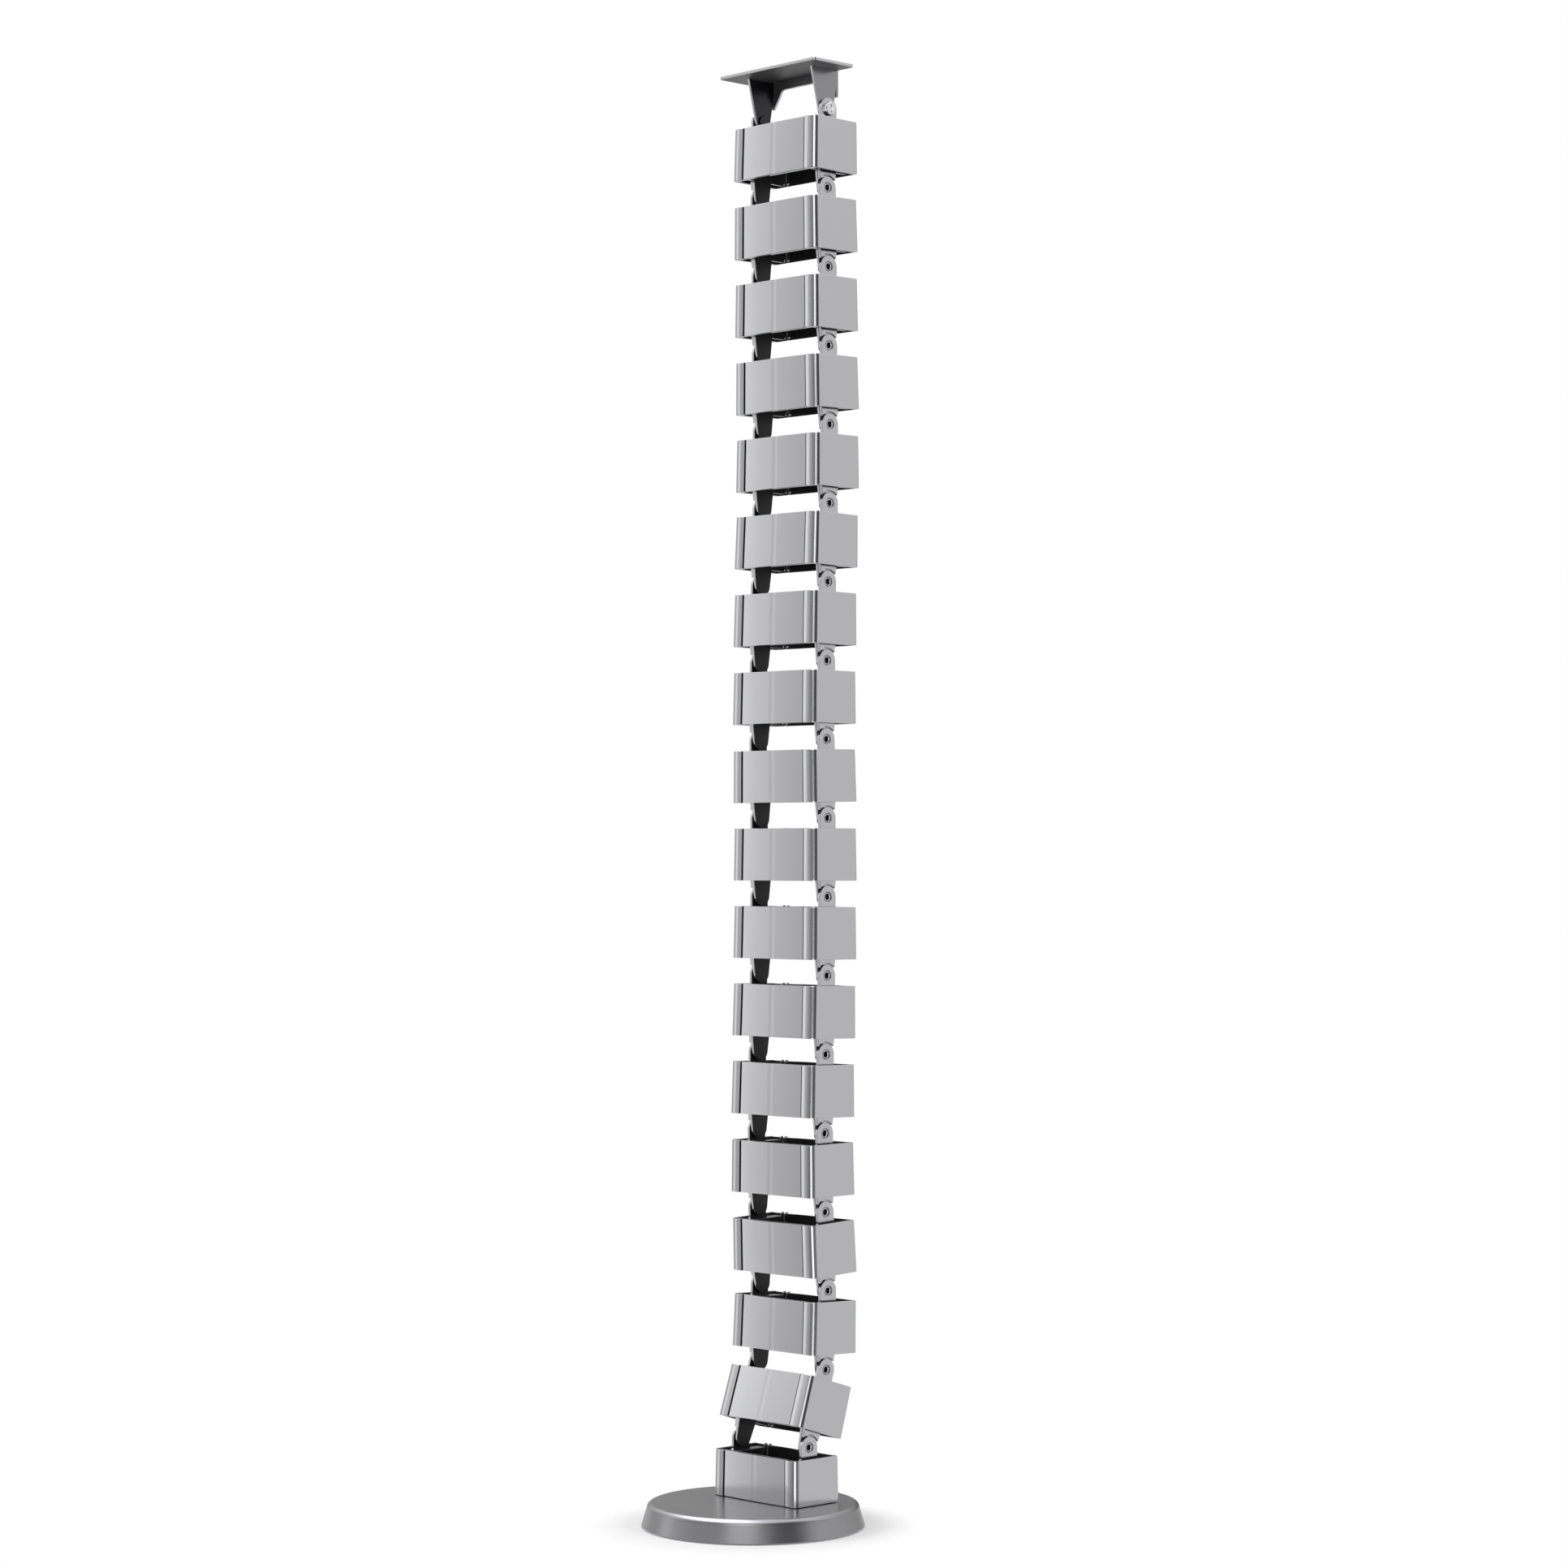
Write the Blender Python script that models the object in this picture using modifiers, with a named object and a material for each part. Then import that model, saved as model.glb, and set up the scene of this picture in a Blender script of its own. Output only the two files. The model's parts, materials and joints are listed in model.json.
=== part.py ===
"""Cable spine: hinged ring links that hang from a desk plate and end in a weighted foot.

+X is the width and the hinge axis, -Y the front, +Z up. The origin is the middle of the desk
plate's top face. A link is modelled about its upper hinge, and the foot about its own middle.
"""
import math

import bmesh
import bpy
from mathutils import Matrix, Vector

MM = 0.001

# The chain
EAR_RISE = 5.0 * MM
TAB_DROP = 7.8 * MM
HINGE_FORWARD = 1.1 * MM
# Degrees that each link leans from plumb with its lower end to the front, from the top link down
LINK_LEANS = (0.8, -1.0, -0.4, -1.0, 0.2, 1.8, 1.0, 0.5, -1.0, 0.0, 0.5, 1.2, 1.0, -0.6, -2.6, 2.0, 17.5)

# The ring of a link
LINK_WIDTH = 58.0 * MM
LINK_DEPTH = 29.6 * MM
LINK_HEIGHT = 25.6 * MM
LINK_DRAFT = 0.35 * MM
SKIN = 1.6 * MM
FRONT_CORNER = 3.0 * MM
REAR_CORNER = 1.8 * MM
EDGE_CORNER = 1.6 * MM
LEDGE_THICKNESS = 1.6 * MM
FRONT_LEDGE = 5.0 * MM
SLIT_WIDTH = 1.2 * MM
SLIT_INSET = 0.9 * MM
BEAD_RADIUS = 1.0 * MM
BEAD_RISE = 0.6 * MM
CHEEK_RAISE = 0.5 * MM
CHEEK_THICKNESS = 1.3 * MM
LEDGE_OVERHANG = 0.4 * MM

# The snap-on front cover
COVER_WIDTH = 42.4 * MM
COVER_THICKNESS = 1.1 * MM
COVER_GAP = 0.3 * MM
COVER_GROOVE = 0.6 * MM
COVER_CREASE = 0.5 * MM

# The hinge: an outer ear on top of a link, and the inner tab with its stud under the one above
EAR_INSET = 4.2 * MM
EAR_THICKNESS = 1.5 * MM
EAR_RADIUS = 5.35 * MM
EAR_FILLET = 1.5 * MM
EAR_SINK = 0.2 * MM
LEAF_GAP = 0.3 * MM
TAB_THICKNESS = 1.5 * MM
TAB_TIP_RADIUS = 4.7 * MM
TAB_ROOT_HALF = 6.2 * MM
SHOULDER_GAP = 0.5 * MM
SHOULDER_ROOT = 3.0 * MM
SHOULDER_STEP = 0.3 * MM
TAB_ROOT_RISE = 4.0 * MM
STUD_RADIUS = 2.2 * MM
STUD_CLEARANCE = 0.1 * MM
STUD_RECESS = 0.2 * MM

# The desk bracket, folded from sheet
PLATE_WIDTH = 67.5 * MM
PLATE_DEPTH = 27.0 * MM
SHEET = 1.5 * MM
PLATE_REAR = 7.3 * MM
PLATE_CORNER = 1.5 * MM
BRACKET_DROP = 20.0 * MM
BRACKET_EAR_FRONT = 10.7 * MM
BRACKET_TIP_RADIUS = 4.7 * MM
FLANGE_HEIGHT = 3.2 * MM
FLANGE_LEG = 5.4 * MM
FLANGE_LEG_DROP = 10.0 * MM
ARCH_CORNER = 2.5 * MM

# The rivets of the top hinge
RIVET_HEAD_RADIUS = 3.5 * MM
RIVET_HEAD_HEIGHT = 1.6 * MM
RIVET_HEAD_GAP = 0.1 * MM
RIVET_TAIL_RADIUS = 3.0 * MM
RIVET_TAIL_HEIGHT = 0.9 * MM
RIVET_SLOT_WIDTH = 1.0 * MM
RIVET_SLOT_LENGTH = 4.2 * MM
RIVET_SLOT_DEPTH = 0.9 * MM

# The base link and what holds it down
BASE_LINK_HEIGHT = 22.4 * MM
LUG_REACH = 9.5 * MM
LUG_DEPTH = 12.0 * MM
LUG_THICKNESS = 2.4 * MM
SCREW_RADIUS = 1.6 * MM
SCREW_CLEARANCE = 0.25 * MM
SCREW_HEAD_RADIUS = 3.0 * MM
SCREW_HEAD_HEIGHT = 1.8 * MM
SCREW_LENGTH = 9.0 * MM
SCREW_SOCKET_RADIUS = 1.3 * MM
SCREW_SOCKET_DEPTH = 1.1 * MM

# The foot
FOOT_RADIUS = 54.4 * MM
FOOT_TOP_RADIUS = 51.2 * MM
FOOT_HEIGHT = 11.6 * MM
FOOT_SHOULDER = 2.6 * MM
FOOT_WALL = 2.0 * MM
FOOT_SETBACK = 15.2 * MM
WEIGHT_THICKNESS = 7.4 * MM
PAD_THICKNESS = 1.6 * MM
PAD_INSET = 2.2 * MM
FLOOR_GAP = 0.5 * MM

SEAT_GAP = 0.3 * MM
EAR_STEPS = 5
TIP_STEPS = 4
CORNER_STEPS = 3
EDGE_STEPS = 2
HINGE_SEGMENTS = 8
BORE_SEGMENTS = 6
TURNED_SEGMENTS = 12
FOOT_SEGMENTS = 48
FLAT_ANGLE = 0.05

# Places in a link's own frame
HALF_WIDTH = LINK_WIDTH / 2
FRONT_Y = HINGE_FORWARD - LINK_DEPTH / 2
REAR_Y = HINGE_FORWARD + LINK_DEPTH / 2
TOP_Z = -EAR_RISE
COVER_SEAT = COVER_THICKNESS + COVER_GAP
WALL_INNER_Y = FRONT_Y + COVER_SEAT + SKIN
LEDGE_Z = TOP_Z - COVER_SEAT
LEDGE_FRONT_Y = WALL_INNER_Y + FRONT_LEDGE
RECESS_HALF = COVER_WIDTH / 2 + COVER_GROOVE
PITCH = EAR_RISE + LINK_HEIGHT + TAB_DROP
EAR_OUTER_X = HALF_WIDTH - EAR_INSET
EAR_INNER_X = EAR_OUTER_X - EAR_THICKNESS
TAB_OUTER_X = EAR_INNER_X - LEAF_GAP
TAB_INNER_X = TAB_OUTER_X - TAB_THICKNESS
HOLE_RADIUS = STUD_RADIUS / math.cos(math.pi / HINGE_SEGMENTS) + STUD_CLEARANCE
LEDGE_X = TAB_INNER_X - LEDGE_OVERHANG
SLIT_X = SLIT_INSET - LEDGE_X
WELL_X = HALF_WIDTH - SKIN
WELL_REAR_Y = REAR_Y - SKIN
PAST = 2.0 * MM

# A flat outline is drawn in local XY and pushed along local Z, then turned into one of these planes
IN_PLAN = Matrix.Identity(3)
IN_SIDE_VIEW = Matrix(((0, 0, 1), (1, 0, 0), (0, 1, 0)))
IN_REAR_VIEW = Matrix(((1, 0, 0), (0, 0, -1), (0, 1, 0)))

MATERIALS = {
    "silver": ((0.46, 0.46, 0.47), 0.28, 0.85),
    "cover_silver": ((0.50, 0.50, 0.51), 0.25, 0.85),
    "rivet_steel": ((0.62, 0.62, 0.63), 0.22, 1.0),
    "foot_paint": ((0.36, 0.36, 0.37), 0.30, 0.75),
    "weight_steel": ((0.20, 0.20, 0.21), 0.45, 0.9),
    "pad_rubber": ((0.03, 0.03, 0.03), 0.85, 0.0),
}


def clear_scene():
    """Removes whatever objects the file opened with."""
    for obj in list(bpy.data.objects):
        bpy.data.objects.remove(obj, do_unlink=True)


def part_collection():
    """Returns the collection that holds the pieces of the spine, made on first use."""
    found = bpy.data.collections.get("cable_spine")
    if found is None:
        found = bpy.data.collections.new("cable_spine")
        bpy.context.scene.collection.children.link(found)
    return found


def material(name):
    """Returns the named finish as a Principled material, made on first use."""
    found = bpy.data.materials.get(name)
    if found is None:
        color, roughness, metallic = MATERIALS[name]
        found = bpy.data.materials.new(name)
        found.use_nodes = True
        shader = found.node_tree.nodes["Principled BSDF"]
        shader.inputs["Base Color"].default_value = (*color, 1.0)
        shader.inputs["Roughness"].default_value = roughness
        shader.inputs["Metallic"].default_value = metallic
    return found


def object_from(name, data):
    """Links data into the part's collection as an object with the given name."""
    obj = bpy.data.objects.new(name, data)
    part_collection().objects.link(obj)
    return obj


def object_from_bmesh(name, bm):
    """Turns a bmesh into a mesh object and frees it."""
    mesh = bpy.data.meshes.new(name)
    bm.to_mesh(mesh)
    bm.free()
    return object_from(name, mesh)


def box(name, low, high):
    """A box between two corners."""
    low = Vector(low)
    high = Vector(high)
    bm = bmesh.new()
    bmesh.ops.create_cube(bm, size=1.0)
    bmesh.ops.scale(bm, vec=high - low, verts=bm.verts)
    bmesh.ops.translate(bm, vec=(low + high) / 2, verts=bm.verts)
    return object_from_bmesh(name, bm)


def bar(name, radius, start, end, segments=HINGE_SEGMENTS):
    """A closed cylinder from start to end, two points along X or Z."""
    start = Vector(start)
    end = Vector(end)
    bm = bmesh.new()
    bmesh.ops.create_cone(
        bm, cap_ends=True, segments=segments, radius1=radius, radius2=radius, depth=(end - start).length
    )
    turn = Vector((0, 0, 1)).rotation_difference(end - start).to_matrix()
    bmesh.ops.rotate(bm, matrix=turn, verts=bm.verts)
    bmesh.ops.translate(bm, vec=(start + end) / 2, verts=bm.verts)
    return object_from_bmesh(name, bm)


def arc(center, radius, start, end, steps):
    """Points on an arc about center, with the angles in degrees."""
    angles = [math.radians(start + (end - start) * i / steps) for i in range(steps + 1)]
    return [(center[0] + radius * math.cos(a), center[1] + radius * math.sin(a)) for a in angles]


def outline_solid(name, points, plane, low, high):
    """A closed outline pushed from low to high along its plane's normal."""
    curve = bpy.data.curves.new(name, "CURVE")
    curve.dimensions = "2D"
    curve.fill_mode = "BOTH"
    curve.extrude = (high - low) / 2
    spline = curve.splines.new("POLY")
    spline.points.add(len(points) - 1)
    for spot, point in zip(spline.points, points):
        spot.co = (point[0], point[1], 0.0, 1.0)
    spline.use_cyclic_u = True
    drawn = object_from(name + "_outline", curve)
    graph = bpy.context.evaluated_depsgraph_get()
    mesh = bpy.data.meshes.new_from_object(drawn.evaluated_get(graph))
    bpy.data.objects.remove(drawn, do_unlink=True)
    bm = bmesh.new()
    bm.from_mesh(mesh)
    bmesh.ops.remove_doubles(bm, verts=bm.verts, dist=1e-7)
    bmesh.ops.translate(bm, vec=(0, 0, (low + high) / 2), verts=bm.verts)
    bmesh.ops.transform(bm, matrix=plane.to_4x4(), verts=bm.verts)
    bmesh.ops.recalc_face_normals(bm, faces=bm.faces)
    bm.to_mesh(mesh)
    bm.free()
    mesh.name = name
    return object_from(name, mesh)


def boolean(target, tool, operation):
    """Cuts, joins or intersects target with tool, keeps the result in target and removes tool."""
    modifier = target.modifiers.new("boolean", "BOOLEAN")
    modifier.operation = operation
    modifier.object = tool
    graph = bpy.context.evaluated_depsgraph_get()
    mesh = bpy.data.meshes.new_from_object(target.evaluated_get(graph))
    target.modifiers.clear()
    target.data = mesh
    bpy.data.objects.remove(tool, do_unlink=True)


def cut(target, *tools):
    """Takes each tool out of target."""
    for tool in tools:
        boolean(target, tool, "DIFFERENCE")


def join(target, *tools):
    """Adds each tool to target."""
    for tool in tools:
        boolean(target, tool, "UNION")


def turned(name, profile, segments):
    """A profile of (radius, height) points, listed from the top down its outer side, spun about Z."""
    bm = bmesh.new()
    verts = [bm.verts.new((radius, 0.0, height)) for radius, height in profile]
    for first, second in zip(verts, verts[1:]):
        bm.edges.new((first, second))
    obj = object_from_bmesh(name, bm)
    screw = obj.modifiers.new("turn", "SCREW")
    screw.angle = math.tau
    screw.steps = segments
    screw.render_steps = segments
    screw.use_merge_vertices = True
    screw.merge_threshold = 0.000001
    graph = bpy.context.evaluated_depsgraph_get()
    mesh = bpy.data.meshes.new_from_object(obj.evaluated_get(graph))
    obj.modifiers.clear()
    obj.data = mesh
    return obj


def finish_mesh(obj, name, smooth_angle=35):
    """Names a finished mesh, makes its round faces smooth and takes it off its object."""
    mesh = obj.data
    bpy.data.objects.remove(obj, do_unlink=True)
    bm = bmesh.new()
    bm.from_mesh(mesh)
    bmesh.ops.remove_doubles(bm, verts=bm.verts, dist=1e-6)
    bmesh.ops.dissolve_limit(bm, angle_limit=math.radians(FLAT_ANGLE), verts=bm.verts, edges=bm.edges)
    bm.to_mesh(mesh)
    bm.free()
    mesh.name = name
    mesh.shade_smooth()
    mesh.set_sharp_from_angle(angle=math.radians(smooth_angle))
    return mesh


def drafted(obj, height):
    """Spreads a solid downwards, so that a link's outer faces lean out by the draft at the bottom."""
    for vert in obj.data.vertices:
        lean = LINK_DRAFT * (TOP_Z - vert.co.z) / height
        vert.co.x *= 1 + lean / HALF_WIDTH
        vert.co.y += (vert.co.y - HINGE_FORWARD) * lean / (LINK_DEPTH / 2)


def ring_plan():
    """The link's outline from above, with the cover's shallow recess in its front."""
    corner = min(FRONT_CORNER, (HALF_WIDTH - RECESS_HALF) / 2)
    right = [(RECESS_HALF, FRONT_Y + COVER_SEAT), (RECESS_HALF, FRONT_Y)]
    right += arc((HALF_WIDTH - corner, FRONT_Y + corner), corner, -90, 0, CORNER_STEPS)
    right += arc((HALF_WIDTH - REAR_CORNER, REAR_Y - REAR_CORNER), REAR_CORNER, 0, 90, EDGE_STEPS)
    return right + [(-x, y) for x, y in reversed(right)]


def ring_side_view(height):
    """The link's outline from the side, with its rear corners rounded."""
    bottom = TOP_Z - height
    far = LINK_DRAFT + PAST
    rear = REAR_Y + LINK_DRAFT
    points = [(FRONT_Y - far, TOP_Z), (FRONT_Y - far, bottom)]
    points += arc((rear - EDGE_CORNER, bottom + EDGE_CORNER), EDGE_CORNER, -90, 0, EDGE_STEPS)
    points += arc((rear - EDGE_CORNER, TOP_Z - EDGE_CORNER), EDGE_CORNER, 0, 90, EDGE_STEPS)
    return points


def ring(height):
    """The open ring: skin, front ledge, cover seat and the off-centre slit behind with two beads."""
    bottom = TOP_Z - height
    body = outline_solid("ring", ring_plan(), IN_PLAN, bottom, TOP_Z)
    drafted(body, height)
    reach = HALF_WIDTH + LINK_DRAFT + PAST
    profile = outline_solid("ring_profile", ring_side_view(height), IN_SIDE_VIEW, -reach, reach)
    boolean(body, profile, "INTERSECT")
    cover_reach = RECESS_HALF + LINK_DRAFT
    cut(
        body,
        box("well", (-WELL_X, WALL_INNER_Y, LEDGE_Z), (WELL_X, WELL_REAR_Y, TOP_Z + PAST)),
        box("hollow", (-WELL_X, WALL_INNER_Y, bottom - PAST), (WELL_X, WELL_REAR_Y, LEDGE_Z - LEDGE_THICKNESS)),
        box("channel", (-LEDGE_X, LEDGE_FRONT_Y, LEDGE_Z - LEDGE_THICKNESS - PAST),
            (LEDGE_X, WELL_REAR_Y, LEDGE_Z + PAST)),
        box("lip_seat", (-cover_reach, FRONT_Y - PAST, LEDGE_Z), (cover_reach, WALL_INNER_Y + PAST, TOP_Z + PAST)),
        box("slit", (SLIT_X - SLIT_WIDTH / 2, WELL_REAR_Y - PAST, bottom - PAST),
            (SLIT_X + SLIT_WIDTH / 2, REAR_Y + PAST, TOP_Z + PAST)),
    )
    bead_y = REAR_Y - BEAD_RADIUS
    for side in (-1, 1):
        bead_x = SLIT_X + side * (SLIT_WIDTH / 2 + BEAD_RADIUS)
        join(body, bar("bead", BEAD_RADIUS, (bead_x, bead_y, bottom + EDGE_CORNER),
                       (bead_x, bead_y, TOP_Z + BEAD_RISE), BORE_SEGMENTS))
    return body


def ear_outline():
    """The outer ear from the side: rounded about the hinge, flared where it leaves the ledge."""
    flare = EAR_RADIUS + EAR_FILLET
    fillet_z = LEDGE_Z + EAR_FILLET - EAR_SINK
    root = LEDGE_Z - LEDGE_THICKNESS / 2
    right = [(flare, root)] + arc((flare, fillet_z), EAR_FILLET, 270, 180, EDGE_STEPS)
    left = [(-y, z) for y, z in reversed(right)]
    return right + arc((0, 0), EAR_RADIUS, 0, 180, EAR_STEPS) + left


def taper_angle(half, drop, radius):
    """How far below level, in degrees, a straight edge from (half, drop) meets a round tip."""
    return math.degrees(math.acos(radius / math.hypot(half, drop)) - math.atan2(drop, half))


def tab_outline(bottom):
    """The tab from the side: a tapered leaf that ends round the lower hinge."""
    root = bottom + CHEEK_RAISE + TAB_ROOT_RISE
    hinge_z = bottom - TAB_DROP
    edge = taper_angle(TAB_ROOT_HALF, root - hinge_z, TAB_TIP_RADIUS)
    tip = arc((0, hinge_z), TAB_TIP_RADIUS, -180 + edge, -edge, TIP_STEPS)
    return [(-TAB_ROOT_HALF, root)] + tip + [(TAB_ROOT_HALF, root)]


def shoulder_outline(bottom):
    """The tab's thick root from the side, hollowed by an arc that clears the ear's round top."""
    hinge_z = bottom - TAB_DROP
    low = bottom + CHEEK_RAISE
    half = TAB_ROOT_HALF - SHOULDER_STEP
    inner = TAB_TIP_RADIUS - SHOULDER_STEP
    radius = EAR_RADIUS + SHOULDER_GAP
    root = low + SHOULDER_ROOT
    horn = math.degrees(math.acos(inner / radius)) - taper_angle(half, root - hinge_z, inner)
    hollow = arc((0, hinge_z), radius, 180 - horn, horn, TIP_STEPS)
    return [(-half, root)] + hollow + [(half, root)]


def add_cheeks(body, bottom):
    """Adds the two inner side walls between the front and rear walls, under the ledge."""
    middle = TAB_INNER_X + TAB_THICKNESS / 2
    for side in (-1, 1):
        low, high = sorted((side * (middle - CHEEK_THICKNESS / 2), side * (middle + CHEEK_THICKNESS / 2)))
        join(body, box("cheek", (low, WALL_INNER_Y - SKIN / 2, bottom + CHEEK_RAISE),
                       (high, WELL_REAR_Y + SKIN / 2, LEDGE_Z - LEDGE_THICKNESS / 2)))


def add_ears(body):
    """Stands the two outer ears on the ledge, each with a hole on the hinge axis."""
    for side in (-1, 1):
        low, high = sorted((side * EAR_INNER_X, side * EAR_OUTER_X))
        ear = outline_solid("ear", ear_outline(), IN_SIDE_VIEW, low, high)
        cut(ear, bar("hole", HOLE_RADIUS, (low - PAST, 0, 0), (high + PAST, 0, 0)))
        join(body, ear)


def add_tabs(body, bottom):
    """Hangs a tab from each inner wall, with a thick root and the stud for the next link."""
    hinge_z = bottom - TAB_DROP
    middle = TAB_OUTER_X - TAB_THICKNESS / 2
    for side in (-1, 1):
        low, high = sorted((side * TAB_INNER_X, side * TAB_OUTER_X))
        join(body, outline_solid("tab", tab_outline(bottom), IN_SIDE_VIEW, low, high))
        low, high = sorted((side * middle, side * EAR_OUTER_X))
        join(body, outline_solid("shoulder", shoulder_outline(bottom), IN_SIDE_VIEW, low, high))
        low, high = sorted((side * middle, side * (EAR_OUTER_X - STUD_RECESS)))
        join(body, bar("stud", STUD_RADIUS, (low, 0, hinge_z), (high, 0, hinge_z)))


def add_lugs(body, bottom):
    """Adds the two screw lugs inside the foot of the base link."""
    for side in (-1, 1):
        low, high = sorted((side * (TAB_INNER_X - LUG_REACH), side * (TAB_INNER_X + TAB_THICKNESS / 2)))
        lug = box("lug", (low, HINGE_FORWARD - LUG_DEPTH / 2, bottom),
                  (high, HINGE_FORWARD + LUG_DEPTH / 2, bottom + LUG_THICKNESS))
        screw_x = side * (TAB_INNER_X - LUG_REACH / 2)
        cut(lug, bar("lug_hole", SCREW_RADIUS + SCREW_CLEARANCE, (screw_x, HINGE_FORWARD, bottom - PAST),
                     (screw_x, HINGE_FORWARD, bottom + LUG_THICKNESS + PAST)))
        join(body, lug)


def frame_mesh():
    """The frame of a free link."""
    bottom = TOP_Z - LINK_HEIGHT
    body = ring(LINK_HEIGHT)
    add_cheeks(body, bottom)
    add_ears(body)
    add_tabs(body, bottom)
    return finish_mesh(body, "link_frame")


def base_frame_mesh():
    """The frame of the base link, which has ears and lugs but no tabs."""
    bottom = TOP_Z - BASE_LINK_HEIGHT
    body = ring(BASE_LINK_HEIGHT)
    add_cheeks(body, bottom)
    add_ears(body)
    add_lugs(body, bottom)
    return finish_mesh(body, "base_link_frame")


def cover_mesh(name, height):
    """The front cover: a creased panel with a lip that hooks over the ring's front wall."""
    bottom = TOP_Z - height
    half = COVER_WIDTH / 2
    lip_y = WALL_INNER_Y
    plan = [(0, FRONT_Y), (half, FRONT_Y + COVER_CREASE), (half, lip_y), (-half, lip_y), (-half, FRONT_Y + COVER_CREASE)]
    body = outline_solid("cover", plan, IN_PLAN, bottom, TOP_Z)
    hollow = box("cover_hollow", (-half - PAST, FRONT_Y + COVER_THICKNESS, bottom - PAST),
                 (half + PAST, lip_y + PAST, TOP_Z - COVER_THICKNESS))
    cut(body, hollow)
    drafted(body, height)
    return finish_mesh(body, name)


def bracket_ear_outline():
    """A bracket ear from the side, tapering from the plate to a round tip about the top hinge."""
    seat = BRACKET_DROP + SHEET / 2
    rear = PLATE_REAR + HINGE_FORWARD
    front = HINGE_FORWARD - BRACKET_EAR_FRONT
    before = taper_angle(-front, BRACKET_DROP, BRACKET_TIP_RADIUS)
    behind = taper_angle(rear, BRACKET_DROP, BRACKET_TIP_RADIUS)
    tip = arc((0, 0), BRACKET_TIP_RADIUS, before - 180, -behind, TIP_STEPS)
    return [(front, seat), (front, BRACKET_DROP)] + tip + [(rear, BRACKET_DROP), (rear, seat)]


def flange_outline():
    """The bracket's rear flange from behind: an arch whose legs taper down the ears' rear edges."""
    seat = BRACKET_DROP + SHEET / 2
    under = BRACKET_DROP - FLANGE_HEIGHT
    spring = TAB_INNER_X - FLANGE_LEG
    leg_end = under - FLANGE_LEG_DROP
    right = [(TAB_OUTER_X, seat), (TAB_OUTER_X, leg_end), (TAB_INNER_X, leg_end)]
    right += [(spring + ARCH_CORNER / 3, under - ARCH_CORNER), (spring - ARCH_CORNER, under)]
    return right + [(-x, z) for x, z in reversed(right)]


def bracket_mesh():
    """The desk bracket about the top hinge: plate, two ears and the arched flange, one folded sheet."""
    top = BRACKET_DROP + SHEET
    rear = PLATE_REAR + HINGE_FORWARD
    front = rear - PLATE_DEPTH
    half = PLATE_WIDTH / 2
    plan = []
    for corner_x, corner_y, start in (
        (half - PLATE_CORNER, front + PLATE_CORNER, -90),
        (half - PLATE_CORNER, rear - PLATE_CORNER, 0),
        (-half + PLATE_CORNER, rear - PLATE_CORNER, 90),
        (-half + PLATE_CORNER, front + PLATE_CORNER, 180),
    ):
        plan += arc((corner_x, corner_y), PLATE_CORNER, start, start + 90, EDGE_STEPS)
    body = outline_solid("plate", plan, IN_PLAN, BRACKET_DROP, top)
    flange_y = -rear + SHEET
    join(body, outline_solid("flange", flange_outline(), IN_REAR_VIEW, -rear, flange_y))
    for side in (-1, 1):
        low, high = sorted((side * TAB_INNER_X, side * TAB_OUTER_X))
        join(body, outline_solid("bracket_ear", bracket_ear_outline(), IN_SIDE_VIEW, low, high))
        cut(body, bar("rivet_hole", HOLE_RADIUS, (side * (TAB_INNER_X - PAST), 0, 0),
                      (side * (TAB_OUTER_X + LEAF_GAP / 2), 0, 0)))
    return finish_mesh(body, "top_bracket")


def rivet_mesh():
    """A top hinge rivet along +X from the middle: cross-recessed head outside, flat tail inside."""
    head_in = EAR_OUTER_X + RIVET_HEAD_GAP
    head_out = head_in + RIVET_HEAD_HEIGHT
    tail_out = TAB_INNER_X - RIVET_HEAD_GAP
    tail_in = tail_out - RIVET_TAIL_HEIGHT
    soft = RIVET_HEAD_HEIGHT / 3
    profile = [
        (0.0, head_out), (RIVET_HEAD_RADIUS - soft, head_out), (RIVET_HEAD_RADIUS, head_out - soft),
        (RIVET_HEAD_RADIUS, head_in), (STUD_RADIUS, head_in), (STUD_RADIUS, tail_out),
        (RIVET_TAIL_RADIUS, tail_out), (RIVET_TAIL_RADIUS, tail_in), (0.0, tail_in),
    ]
    body = turned("rivet", profile, TURNED_SEGMENTS)
    half = RIVET_SLOT_LENGTH / 2
    thin = RIVET_SLOT_WIDTH / 2
    floor = head_out - RIVET_SLOT_DEPTH
    cut(
        body,
        box("slot_a", (-half, -thin, floor), (half, thin, head_out + PAST)),
        box("slot_b", (-thin, -half, floor), (thin, half, head_out + PAST)),
    )
    body.data.transform(Matrix.Rotation(math.pi / 2, 4, "Y"))
    return finish_mesh(body, "top_rivet")


def foot_cover_mesh():
    """The foot's turned cover about its own middle, standing at height zero, open underneath."""
    slope = (FOOT_RADIUS - FOOT_TOP_RADIUS) / FOOT_HEIGHT
    shoulder = FOOT_HEIGHT - FOOT_SHOULDER
    shoulder_x = FOOT_TOP_RADIUS + slope * FOOT_SHOULDER
    round_top = arc((shoulder_x - FOOT_SHOULDER, shoulder), FOOT_SHOULDER, 90, 0, CORNER_STEPS)
    inner_top = FOOT_HEIGHT - FOOT_WALL
    profile = [(0.0, FOOT_HEIGHT)] + round_top
    profile += [(FOOT_RADIUS, FLOOR_GAP), (FOOT_RADIUS - FOOT_WALL, FLOOR_GAP)]
    profile += [(shoulder_x - FOOT_WALL, inner_top), (0.0, inner_top)]
    body = turned("foot_cover", profile, FOOT_SEGMENTS)
    cut(body, *screw_bars("cover_hole", SCREW_RADIUS + SCREW_CLEARANCE, inner_top - PAST, FOOT_HEIGHT + PAST))
    return finish_mesh(body, "foot_cover")


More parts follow.
